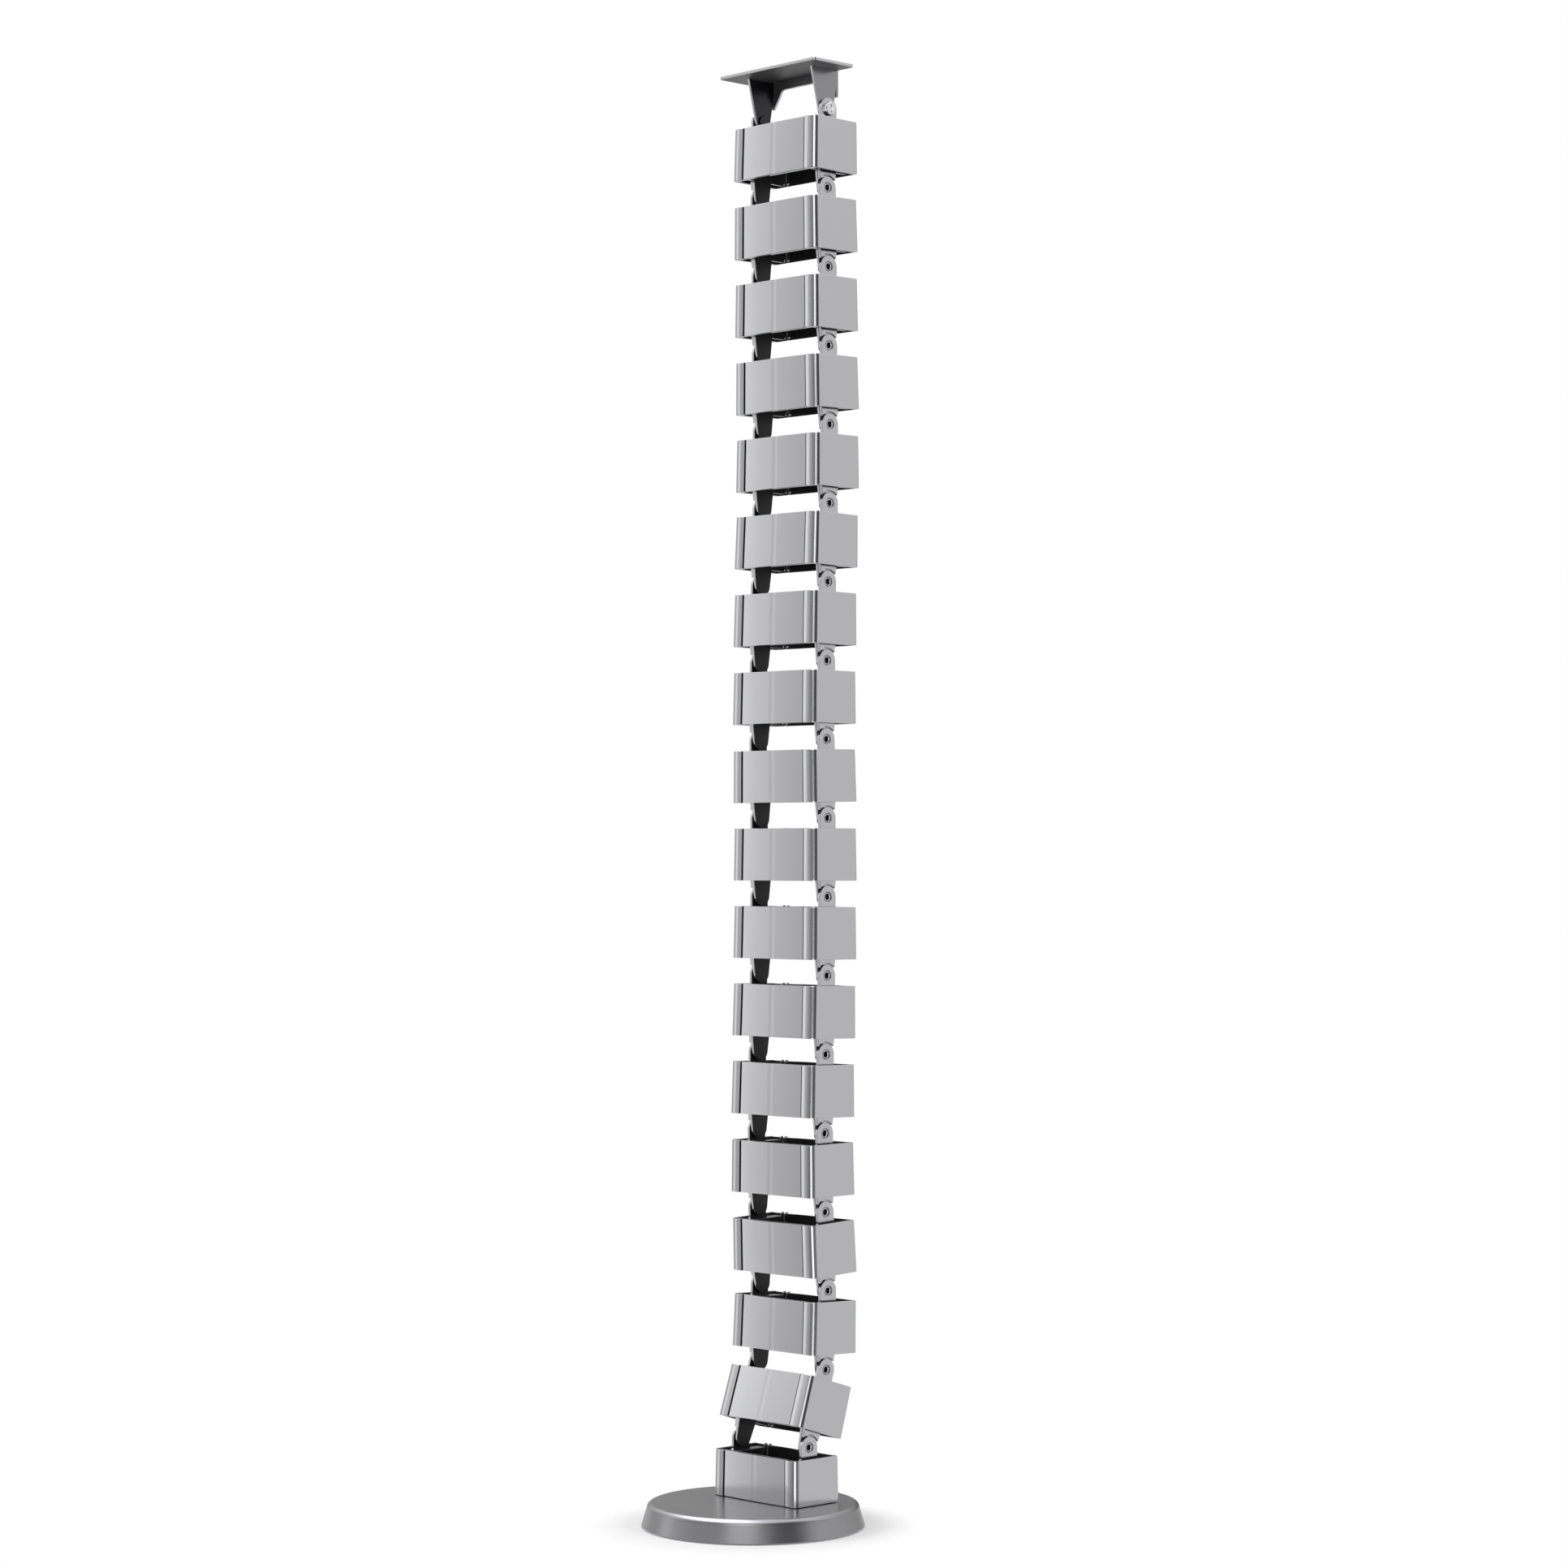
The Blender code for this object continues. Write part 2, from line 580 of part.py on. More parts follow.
def screw_bars(name, radius, low, high):
    """Two upright bars at the base screws' places, in the foot's frame."""
    screw_x = TAB_INNER_X - LUG_REACH / 2
    return [
        bar(name, radius, (side * screw_x, FOOT_SETBACK, low), (side * screw_x, FOOT_SETBACK, high), HINGE_SEGMENTS)
        for side in (-1, 1)
    ]


def weight_mesh():
    """The steel weight inside the foot, drilled for the base screws."""
    top = FOOT_HEIGHT - FOOT_WALL - SEAT_GAP
    low = top - WEIGHT_THICKNESS
    radius = min(FOOT_RADIUS, FOOT_TOP_RADIUS) - FOOT_WALL - SEAT_GAP
    body = turned("weight", [(0.0, top), (radius, top), (radius, low), (0.0, low)], FOOT_SEGMENTS // 2)
    cut(body, *screw_bars("weight_hole", SCREW_RADIUS + SCREW_CLEARANCE, low - PAST, top + PAST))
    return finish_mesh(body, "foot_weight")


def pad_mesh():
    """The non-slip pad that closes the foot and stands on the floor."""
    radius = FOOT_RADIUS - FOOT_WALL - PAD_INSET
    profile = [(0.0, PAD_THICKNESS), (radius, PAD_THICKNESS), (radius, 0.0), (0.0, 0.0)]
    return finish_mesh(turned("pad", profile, FOOT_SEGMENTS // 2), "foot_pad")


def screw_mesh():
    """A base screw, with its head's underside at height zero and a hexagon socket in the head."""
    profile = [
        (0.0, SCREW_HEAD_HEIGHT), (SCREW_HEAD_RADIUS - SCREW_HEAD_HEIGHT / 3, SCREW_HEAD_HEIGHT),
        (SCREW_HEAD_RADIUS, SCREW_HEAD_HEIGHT * 2 / 3), (SCREW_HEAD_RADIUS, 0.0),
        (SCREW_RADIUS, 0.0), (SCREW_RADIUS, -SCREW_LENGTH), (0.0, -SCREW_LENGTH),
    ]
    body = turned("screw", profile, TURNED_SEGMENTS)
    cut(body, bar("socket", SCREW_SOCKET_RADIUS, (0, 0, SCREW_HEAD_HEIGHT - SCREW_SOCKET_DEPTH),
                  (0, 0, SCREW_HEAD_HEIGHT + PAST), BORE_SEGMENTS))
    return finish_mesh(body, "base_screw")


def empty(name, parent, location, turn=0.0):
    """An empty at location under parent, turned about X by an angle in degrees."""
    obj = object_from(name, None)
    obj.parent = parent
    obj.location = location
    obj.rotation_euler = (math.radians(turn), 0.0, 0.0)
    return obj


def place(name, mesh, finish, parent, location=(0.0, 0.0, 0.0), turn=(0.0, 0.0, 0.0)):
    """Puts a finished mesh under parent as a named piece with its material."""
    obj = object_from(name, mesh)
    if not mesh.materials:
        mesh.materials.append(material(finish))
    obj.parent = parent
    obj.location = location
    obj.rotation_euler = turn
    return obj


def place_bracket(hinge):
    """Hangs the desk bracket and its two rivets on the top hinge axis."""
    place("top_bracket", bracket_mesh(), "silver", hinge)
    rivet = rivet_mesh()
    place("top_rivet_right", rivet, "rivet_steel", hinge)
    place("top_rivet_left", rivet, "rivet_steel", hinge, turn=(0.0, 0.0, math.pi))


def place_links(hinge):
    """Hangs the free links one under another, and returns the last hinge and its lean."""
    frame = frame_mesh()
    cover = cover_mesh("link_cover", LINK_HEIGHT)
    lean = 0.0
    for number, next_lean in enumerate(LINK_LEANS, start=1):
        drop = -PITCH if number > 1 else 0.0
        hinge = empty(f"hinge_{number:02d}", hinge, (0.0, 0.0, drop), lean - next_lean)
        place(f"link_{number:02d}_frame", frame, "silver", hinge)
        place(f"link_{number:02d}_cover", cover, "cover_silver", hinge)
        lean = next_lean
    return hinge, lean


def place_base(hinge, lean):
    """Stands the base link on the foot under the last hinge, plumb again."""
    base = empty(f"hinge_{len(LINK_LEANS) + 1:02d}", hinge, (0.0, 0.0, -PITCH), lean)
    place("base_link_frame", base_frame_mesh(), "silver", base)
    place("base_link_cover", cover_mesh("base_link_cover", BASE_LINK_HEIGHT), "cover_silver", base)
    bottom = TOP_Z - BASE_LINK_HEIGHT
    screw = screw_mesh()
    for side_name, side in (("left", -1), ("right", 1)):
        spot = (side * (TAB_INNER_X - LUG_REACH / 2), HINGE_FORWARD, bottom + LUG_THICKNESS + SEAT_GAP)
        place(f"base_screw_{side_name}", screw, "rivet_steel", base, spot)
    floor = (0.0, HINGE_FORWARD - FOOT_SETBACK, bottom - SEAT_GAP - FOOT_HEIGHT)
    place("foot_cover", foot_cover_mesh(), "foot_paint", base, floor)
    place("foot_weight", weight_mesh(), "weight_steel", base, floor)
    place("foot_pad", pad_mesh(), "pad_rubber", base, floor)


def main():
    """Builds the spine as it hangs in use, with its lowest free link leaning."""
    clear_scene()
    middle = PLATE_DEPTH / 2 - PLATE_REAR - HINGE_FORWARD
    top_hinge = empty("top_mount", None, (0.0, middle, -BRACKET_DROP - SHEET))
    place_bracket(top_hinge)
    place_base(*place_links(top_hinge))


main()
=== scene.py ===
"""A vertical cable spine in satin silver: hinged open links between a desk bracket and a round foot."""

from __future__ import annotations

import json
import logging
import math
from dataclasses import dataclass
from enum import Enum
from typing import Callable, Iterable, Sequence

import bmesh
import bpy
from mathutils import Matrix, Vector

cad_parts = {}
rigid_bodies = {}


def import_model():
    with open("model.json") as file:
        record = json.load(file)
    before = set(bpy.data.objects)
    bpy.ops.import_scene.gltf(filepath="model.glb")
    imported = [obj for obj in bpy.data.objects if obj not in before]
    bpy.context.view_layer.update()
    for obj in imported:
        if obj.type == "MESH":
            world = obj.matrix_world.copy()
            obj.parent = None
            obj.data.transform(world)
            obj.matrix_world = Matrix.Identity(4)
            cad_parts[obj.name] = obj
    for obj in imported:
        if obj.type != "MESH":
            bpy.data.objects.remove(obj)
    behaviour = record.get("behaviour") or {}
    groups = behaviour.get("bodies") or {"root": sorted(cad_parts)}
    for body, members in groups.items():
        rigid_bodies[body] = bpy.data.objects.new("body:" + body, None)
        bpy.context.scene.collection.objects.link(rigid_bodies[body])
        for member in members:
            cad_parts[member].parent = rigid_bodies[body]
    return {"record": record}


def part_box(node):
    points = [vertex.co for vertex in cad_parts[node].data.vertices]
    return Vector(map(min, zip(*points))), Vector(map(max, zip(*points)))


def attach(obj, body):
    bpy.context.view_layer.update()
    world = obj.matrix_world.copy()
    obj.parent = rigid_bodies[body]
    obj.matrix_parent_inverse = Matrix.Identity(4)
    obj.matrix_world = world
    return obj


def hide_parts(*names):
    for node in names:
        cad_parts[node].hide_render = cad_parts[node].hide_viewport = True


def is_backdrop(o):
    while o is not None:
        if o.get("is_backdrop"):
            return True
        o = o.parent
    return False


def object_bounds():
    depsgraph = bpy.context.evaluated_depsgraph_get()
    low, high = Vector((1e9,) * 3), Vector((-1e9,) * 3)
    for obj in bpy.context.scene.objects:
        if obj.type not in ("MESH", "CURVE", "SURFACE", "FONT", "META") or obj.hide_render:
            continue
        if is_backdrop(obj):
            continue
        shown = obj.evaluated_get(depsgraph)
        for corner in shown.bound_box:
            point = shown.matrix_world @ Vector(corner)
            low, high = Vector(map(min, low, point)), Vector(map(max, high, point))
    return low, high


LOG = logging.getLogger("cable_spine")
MM = 0.001
PAST = 1.0 * MM  # how far a cutting bar runs past what it cuts
SEAM = 1e-7  # points closer than this are one point
EDGE_TURN = math.radians(35)  # an edge that turns by more is rounded
SHARP_TURN = math.radians(32)  # an edge that turns by more is shaded sharp
FACING = 0.7  # the least share of a face's direction that counts as facing along an axis
STRAIGHT = 0.95  # the least share that counts as facing it squarely
WHITE = (1.0, 1.0, 1.0, 1.0)
Point = tuple[float, float]


class Plane(Enum):
    """How a flat outline lies before it is pushed: seen from above, from the side or from behind."""

    PLAN = ((1, 0, 0), (0, 1, 0), (0, 0, 1))
    SIDE = ((0, 1, 0), (0, 0, 1), (1, 0, 0))
    REAR = ((1, 0, 0), (0, 0, 1), (0, -1, 0))


class Surface(Enum):
    """Which of a piece's finishes a face takes."""

    OUTSIDE = 0
    # INSIDE: the links' dark inside finish, painted shade in their hinges, on the bracket's ear insides and on the
    # rivet tails.
    INSIDE = 1
    PLAIN = 2
    # UNDER_SHADE: painted shade on the bracket's underside and flange.
    UNDER_SHADE = 3


def arc(center: Point, radius: float, start: float, end: float, steps: int) -> list[Point]:
    """Lists the points of an arc.

    Args:
        center: The arc's middle.
        radius: Its radius in metres.
        start: The first angle in degrees.
        end: The last angle in degrees.
        steps: How many straight steps the arc has.

    Returns:
        The points, the first and last included.
    """
    angles = [math.radians(start + (end - start) * i / steps) for i in range(steps + 1)]
    return [(center[0] + radius * math.cos(a), center[1] + radius * math.sin(a)) for a in angles]


def taper_angle(half: float, drop: float, radius: float) -> float:
    """Finds how far below level a straight edge from (half, drop) meets a round tip.

    Args:
        half: The edge's start beside the middle.
        drop: The edge's start above the tip's middle.
        radius: The tip's radius.

    Returns:
        The angle in degrees.
    """
    return math.degrees(math.acos(radius / math.hypot(half, drop)) - math.atan2(drop, half))


def span(side: int, near: float, far: float) -> tuple[float, float]:
    """Gives two distances from the middle as the low and high X of one side, which is 1 or -1."""
    low, high = sorted((side * near, side * far))
    return low, high


def round_edges(bm: bmesh.types.BMesh, width: float) -> None:
    """Rounds every sharp edge of a solid by a width in metres."""
    edges = [e for e in bm.edges if e.is_manifold and e.calc_face_angle(0.0) > EDGE_TURN]
    bmesh.ops.bevel(
        bm, geom=edges, offset=width, offset_type="OFFSET", segments=2, profile=0.5,
        affect="EDGES", clamp_overlap=True, material=-1,
    )


def pushed(points: Sequence[Point], low: float, high: float, plane: Plane, soft: float = 0.0) -> bmesh.types.BMesh:
    """Pushes a closed outline into a solid.

    Args:
        points: The outline.
        low: Where the solid starts along the plane's third direction.
        high: Where it ends.
        plane: How the outline lies.
        soft: The rounding of its edges, or 0 for none.

    Returns:
        The solid.
    """
    across, up, out = (Vector(v) for v in plane.value)
    bm = bmesh.new()
    verts = [bm.verts.new(across * a + up * b + out * low) for a, b in points]
    face = bm.faces.new(verts)
    grown = bmesh.ops.extrude_face_region(bm, geom=[face])
    tops = [v for v in grown["geom"] if isinstance(v, bmesh.types.BMVert)]
    bmesh.ops.translate(bm, verts=tops, vec=out * (high - low))
    bmesh.ops.recalc_face_normals(bm, faces=bm.faces)
    if soft:
        round_edges(bm, soft)
    return bm


def block(low: Sequence[float], high: Sequence[float], soft: float = 0.0) -> bmesh.types.BMesh:
    """Makes a box between two corners, with its edges rounded by soft."""
    bm = bmesh.new()
    bmesh.ops.create_cube(bm, size=1.0)
    size = [b - a for a, b in zip(low, high)]
    middle = [(a + b) / 2 for a, b in zip(low, high)]
    bmesh.ops.scale(bm, verts=bm.verts, vec=size)
    bmesh.ops.translate(bm, verts=bm.verts, vec=middle)
    if soft:
        round_edges(bm, soft)
    return bm


def turned(profile: Sequence[Point], steps: int, axis: Vector = Vector((0, 0, 1))) -> bmesh.types.BMesh:
    """Spins a profile of (radius, height) points into a closed solid.

    Args:
        profile: The points, from the axis round the outside and back to the axis.
        steps: How many steps a full turn has.
        axis: The direction of the solid's height.

    Returns:
        The solid, with its height along axis.
    """
    bm = bmesh.new()
    verts = [bm.verts.new((radius, 0.0, height)) for radius, height in profile]
    edges = [bm.edges.new(pair) for pair in zip(verts, verts[1:])]
    bmesh.ops.spin(
        bm, geom=verts + edges, cent=(0, 0, 0), axis=(0, 0, 1), angle=math.tau, steps=steps, use_merge=True,
    )
    bmesh.ops.remove_doubles(bm, verts=bm.verts, dist=SEAM)
    bmesh.ops.recalc_face_normals(bm, faces=bm.faces)
    turn = Vector((0, 0, 1)).rotation_difference(axis).to_matrix().to_4x4()
    bmesh.ops.transform(bm, matrix=turn, verts=bm.verts)
    return bm


def moved(bm: bmesh.types.BMesh, by: Sequence[float]) -> bmesh.types.BMesh:
    """Shifts a solid and returns it."""
    bmesh.ops.translate(bm, verts=bm.verts, vec=by)
    return bm


def as_object(name: str, bm: bmesh.types.BMesh) -> bpy.types.Object:
    """Puts a solid into the scene as a mesh object and frees the solid."""
    mesh = bpy.data.meshes.new(name)
    bm.to_mesh(mesh)
    bm.free()
    obj = bpy.data.objects.new(name, mesh)
    bpy.context.scene.collection.objects.link(obj)
    return obj


def fused(name: str, first: bmesh.types.BMesh, others: Iterable[bmesh.types.BMesh],
          operation: str = "UNION") -> bpy.types.Mesh:
    """Joins solids into one closed skin, or cuts the others out of the first.

    A union also resolves crossings inside each solid, because several solids of a casting share faces.

    Args:
        name: The mesh's name.
        first: The solid to start from.
        others: The solids to join or cut.
        operation: UNION or DIFFERENCE.

    Returns:
        The mesh of the result.
    """
    target = as_object(name, first)
    tools = [as_object(f"{name}_tool", bm) for bm in others]
    for tool in tools:
        modifier = target.modifiers.new("join", "BOOLEAN")
        modifier.operation = operation
        modifier.object = tool
        modifier.use_self = operation == "UNION"
    graph = bpy.context.evaluated_depsgraph_get()
    mesh = bpy.data.meshes.new_from_object(target.evaluated_get(graph))
    for obj in [target] + tools:
        bpy.data.objects.remove(obj, do_unlink=True)
    bm = bmesh.new()
    bm.from_mesh(mesh)
    bmesh.ops.remove_doubles(bm, verts=bm.verts, dist=SEAM)
    bm.to_mesh(mesh)
    bm.free()
    return mesh


def solid_of(mesh: bpy.types.Mesh) -> bmesh.types.BMesh:
    """Reads a mesh back as a solid to work on, and removes the mesh."""
    bm = bmesh.new()
    bm.from_mesh(mesh)
    bpy.data.meshes.remove(mesh)
    return bm


# Finishes


@dataclass
class NodeSheet:
    """A shader's node tree, wired one node at a time."""

    tree: bpy.types.NodeTree

    def add(self, kind: str, inputs: dict | None = None, **options: object) -> bpy.types.Node:
        """Adds a node.

        Args:
            kind: The node's type, without the prefix that all shader nodes share.
            inputs: For each of its inputs a value, or the socket that it is linked to.
            options: Its settings, such as its operation.

        Returns:
            The node.
        """
        node = self.tree.nodes.new(f"ShaderNode{kind}")
        for option, value in options.items():
            setattr(node, option, value)
        self.feed(node, inputs or {})
        return node

    def feed(self, node: bpy.types.Node, inputs: dict) -> None:
        """Sets or links a node's inputs."""
        for label, value in inputs.items():
            if isinstance(value, bpy.types.NodeSocket):
                self.tree.links.new(value, node.inputs[label])
            else:
                node.inputs[label].default_value = value

    def maths(self, operation: str, *terms: float | bpy.types.NodeSocket) -> bpy.types.NodeSocket:
        """Adds a maths node and gives its result."""
        return self.add("Math", dict(enumerate(terms)), operation=operation).outputs[0]

    def blend(self, share: bpy.types.NodeSocket, first: float | bpy.types.NodeSocket,
              second: float | bpy.types.NodeSocket) -> bpy.types.NodeSocket:
        """Mixes two values, the second by its share."""
        return self.add("Mix", {0: share, 2: first, 3: second}).outputs[0]

    def ramp(self, value: bpy.types.NodeSocket, start: float, end: float,
             course: str = "LINEAR") -> bpy.types.NodeSocket:
        """Maps a value to 0 at the start and 1 at the end."""
        inputs = {"Value": value, "From Min": start, "From Max": end}
        return self.add("MapRange", inputs, interpolation_type=course).outputs["Result"]


def shared_group(name: str, inputs: dict[str, float],
                 outputs: dict[str, str]) -> tuple[NodeSheet, bpy.types.bpy_prop_collection, bpy.types.Node]:
    """Starts a shader node group.

    Args:
        name: The group's name.
        inputs: Each input's name and default value.
        outputs: Each output's name and socket type.

    Returns:
        The group's sheet, the sockets of what is given to it, and the node that takes its results.
    """
    group = bpy.data.node_groups.new(name, "ShaderNodeTree")
    for label, value in inputs.items():
        group.interface.new_socket(label, in_out="INPUT", socket_type="NodeSocketFloat").default_value = value
    for label, kind in outputs.items():
        group.interface.new_socket(label, in_out="OUTPUT", socket_type=kind)
    return NodeSheet(group), group.nodes.new("NodeGroupInput").outputs, group.nodes.new("NodeGroupOutput")


@dataclass
class ShopEffects:
    """The surface effects that several finishes share, each built once as a node group."""

    grain_cell: float = 0.35 * MM
    grain_depth: float = 0.02 * MM
    smudge_cell: float = 14.0 * MM

    def __post_init__(self) -> None:
        """Builds the groups."""
        self.grain = self.build_grain()
        self.smudge = self.build_smudge()

    def build_grain(self) -> bpy.types.NodeTree:
        """Builds the fine grain of a sprayed or blasted metal skin, as a mask and a normal."""
        sheet, given, result = shared_group(
            "fine_grain", {"Strength": 0.1}, {"Mask": "NodeSocketFloat", "Normal": "NodeSocketVector"})
        place = sheet.add("TexCoord").outputs["Object"]
        noise = sheet.add("TexNoise", {"Vector": place, "Scale": 1 / self.grain_cell, "Detail": 3.0}).outputs["Fac"]
        bump = sheet.add("Bump", {"Height": noise, "Distance": self.grain_depth, "Strength": given["Strength"]})
        sheet.feed(result, {"Mask": noise, "Normal": bump.outputs["Normal"]})
        return sheet.tree

    def build_smudge(self) -> bpy.types.NodeTree:
        """Builds the broad, faint handling marks that change a skin's gloss, as a value around a middle."""
        sheet, given, result = shared_group(
            "handling_marks", {"Middle": 0.2, "Swing": 0.06}, {"Value": "NodeSocketFloat"})
        place = sheet.add("TexCoord").outputs["Object"]
        pattern = {"Vector": place, "Scale": 1 / self.smudge_cell, "Detail": 5.0, "Distortion": 0.6}
        centred = sheet.maths("SUBTRACT", sheet.add("TexNoise", pattern).outputs["Fac"], 0.5)
        sheet.feed(result, {"Value": sheet.maths("MULTIPLY_ADD", centred, given["Swing"], given["Middle"])})
        return sheet.tree


@dataclass(frozen=True)
class Finish:
    """One finish: two close colours, its gloss and its grain."""

    name: str
    light: tuple[float, float, float]
    dark: tuple[float, float, float]
    metallic: float
    roughness: float
    swing: float = 0.05
    grain: float = 0.08
    coat: float = 0.0
    coat_roughness: float = 0.1

    def material(self, effects: ShopEffects) -> bpy.types.Material:
        """Builds the finish as a node material.

        Args:
            effects: The shared node groups.

        Returns:
            The material.
        """
        made = bpy.data.materials.new(self.name)
        made.use_nodes = True
        sheet = NodeSheet(made.node_tree)
        grain = sheet.add("Group", {"Strength": self.grain}, node_tree=effects.grain)
        gloss = sheet.add("Group", {"Middle": self.roughness, "Swing": self.swing}, node_tree=effects.smudge)
        tones = {0: grain.outputs["Mask"], 6: (*self.dark, 1.0), 7: (*self.light, 1.0)}
        colour = sheet.add("Mix", tones, data_type="RGBA")
        sheet.feed(made.node_tree.nodes["Principled BSDF"], {
            "Metallic": self.metallic, "Coat Weight": self.coat, "Coat Roughness": self.coat_roughness,
            "Base Color": colour.outputs[2], "Roughness": gloss.outputs["Value"], "Normal": grain.outputs["Normal"],
        })
        return made


@dataclass
class Finishes:
    """Every finish of the spine, as materials."""

    effects: ShopEffects

    def __post_init__(self) -> None:
        """Builds the materials."""
        finishes = (
            Finish("satin_silver", (0.50, 0.50, 0.51), (0.47, 0.47, 0.48), 1.0, 0.16, swing=0.03),
            Finish("panel_silver", (0.51, 0.51, 0.52), (0.48, 0.48, 0.49), 1.0, 0.18, swing=0.03),
            # The links' dark inside finish; in their hinge holes, stud bores and shoulder hollows it is painted
            # shade.
            Finish("cast_dark_and_shade", (0.024, 0.024, 0.025), (0.011, 0.011, 0.012), 0.4, 0.46, grain=0.3),
            Finish("cast_grey", (0.24, 0.24, 0.245), (0.15, 0.15, 0.155), 0.5, 0.55, grain=0.4),
            # The bracket's finishes are darker copies of the silver, as painted shade: its outside darker than the
            # links, its underside and flange darker still, the insides of its ears darkest.
            Finish("bracket_shaded_silver", (0.28, 0.28, 0.29), (0.24, 0.24, 0.25), 1.0, 0.22),
            Finish("bracket_shade", (0.045, 0.045, 0.05), (0.032, 0.032, 0.036), 1.0, 0.32),
            Finish("bracket_under_shade", (0.14, 0.14, 0.145), (0.11, 0.11, 0.115), 0.5, 0.42),
            Finish("bright_zinc", (0.70, 0.70, 0.71), (0.62, 0.62, 0.63), 1.0, 0.16),
            Finish("foot_grey", (0.28, 0.28, 0.29), (0.25, 0.25, 0.26), 0.95, 0.29, coat=0.25, coat_roughness=0.12),
            Finish("mill_steel", (0.24, 0.24, 0.25), (0.16, 0.16, 0.17), 1.0, 0.45, grain=0.25),
            Finish("pad_black", (0.035, 0.035, 0.035), (0.022, 0.022, 0.022), 0.0, 0.85, grain=0.5),
        )
        self.made = {finish.name: finish.material(self.effects) for finish in finishes}

    def __getitem__(self, name: str) -> bpy.types.Material:
        """Gives a finish's material by its name."""
        return self.made[name]


@dataclass
class Workshop:
    """Turns finished meshes into pieces that ride on their bodies."""

    finishes: Finishes

    def piece(self, name: str, mesh: bpy.types.Mesh, body: str, node: str, slot: str,
              finishes: Sequence[str], placing: Matrix | None = None) -> bpy.types.Object:
        """Places a mesh in the scene as the visible piece of a node.

        Args:
            name: The piece's name.
            mesh: Its mesh in its own frame, which is copied.
            body: The body it rides on.
            node: The node it stands for.
            slot: A material slot's name, which is not used.
            finishes: The names of its finishes, in the order of its material indices.
            placing: Where its own frame lies in the world.

        Returns:
            The piece.
        """
        own = mesh.copy()
        own.name = name
        if placing is not None:
            own.transform(placing)
        for finish in finishes:
            own.materials.append(self.finishes[finish])
        own.shade_smooth()
        own.set_sharp_from_angle(angle=SHARP_TURN)
        obj = bpy.data.objects.new(name, own)
        bpy.context.scene.collection.objects.link(obj)
        shading = obj.modifiers.new("even_faces", "WEIGHTED_NORMAL")
        shading.keep_sharp = True
        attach(obj, body)
        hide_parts(node)
        LOG.info("%s: %d faces on %s for %s", name, len(own.polygons), body, node)
        return obj


# The spine


@dataclass(frozen=True)
class LinkSizes:
    """Every size that the links share, in the frame of a link's upper hinge."""

    width: float = 58.0 * MM
    depth: float = 29.6 * MM
    draft: float = 0.35 * MM
    skin: float = 1.6 * MM
    hinge_forward: float = 1.1 * MM
    rear_corner: float = 1.8 * MM
    inner_corner: float = 0.6 * MM
    edge_corner: float = 1.5 * MM
    edge_rest: float = 0.09 * MM
    ledge: float = 1.6 * MM
    front_ledge: float = 5.0 * MM
    ledge_x: float = 21.1 * MM
    slit: float = 1.2 * MM
    slit_x: float = -20.2 * MM
    bead: float = 1.0 * MM
    bead_rise: float = 0.6 * MM
    cheek: float = 1.3 * MM
    cheek_raise: float = 0.5 * MM
    lap: float = 0.5 * MM
    cover_seat: float = 1.4 * MM
    cover_half: float = 21.2 * MM
    cover_thick: float = 1.1 * MM
    cover_soft: float = 0.308 * MM
    lip_sink: float = 0.01 * MM
    cover_crease: float = 0.5 * MM
    groove_half: float = 1.35 * MM
    groove_ease: float = 0.75 * MM
    groove_slope: float = 1.9
    knee_at: float = 0.55
    knee_drop: float = 0.28
    recess_half: float = 21.8 * MM
    ear_rise: float = 5.0 * MM
    ear_outer: float = 24.8 * MM
    ear_inner: float = 23.3 * MM
    ear_radius: float = 5.35 * MM
    ear_fillet: float = 1.5 * MM
    ear_sink: float = 0.1 * MM
    tab_outer: float = 23.0 * MM
    tab_inner: float = 21.5 * MM
    tab_drop: float = 7.8 * MM
    tab_root: float = 6.2 * MM
    tab_root_rise: float = 4.0 * MM
    tab_tip: float = 4.7 * MM
    shoulder_gap: float = 0.95 * MM
    shoulder_lean: float = 0.6 * MM
    shoulder_root: float = 3.0 * MM
    shoulder_step: float = 0.3 * MM
    stud: float = 2.2 * MM
    stud_bore: float = 1.45 * MM
    stud_sink: float = 0.4 * MM
    stud_lip: float = 0.3 * MM
    stud_floor: float = 0.1 * MM
    hole: float = 2.32 * MM
    hole_mouth: float = 2.6 * MM
    mouth_depth: float = 0.45 * MM
    lug_reach: float = 9.5 * MM
    lug_depth: float = 12.0 * MM
    lug_thick: float = 2.4 * MM
    lug_hole: float = 1.85 * MM
    soft: float = 0.22 * MM
    post_lean: float = 7.0
    post_flat: float = 2.6 * MM
    post_bow: float = 9.7 * MM
    post_turn: float = 15.0

    @property
    def half(self) -> float:
        """Half the width."""
        return self.width / 2

    @property
    def front_y(self) -> float:
        """The front face."""
        return self.hinge_forward - self.depth / 2

    @property
    def rear_y(self) -> float:
        """The rear face."""
        return self.hinge_forward + self.depth / 2

    @property
    def top_z(self) -> float:
        """The ring's top."""
        return -self.ear_rise

    @property
    def wall_y(self) -> float:
        """The front wall's inner face."""
        return self.front_y + self.cover_seat + self.skin

    @property
    def well_x(self) -> float:
        """The side walls' inner faces."""
        return self.half - self.skin

    @property
    def well_y(self) -> float:
        """The rear wall's inner face."""
        return self.rear_y - self.skin

    @property
    def ledge_z(self) -> float:
        """The ledge's top."""
        return self.top_z - self.cover_seat


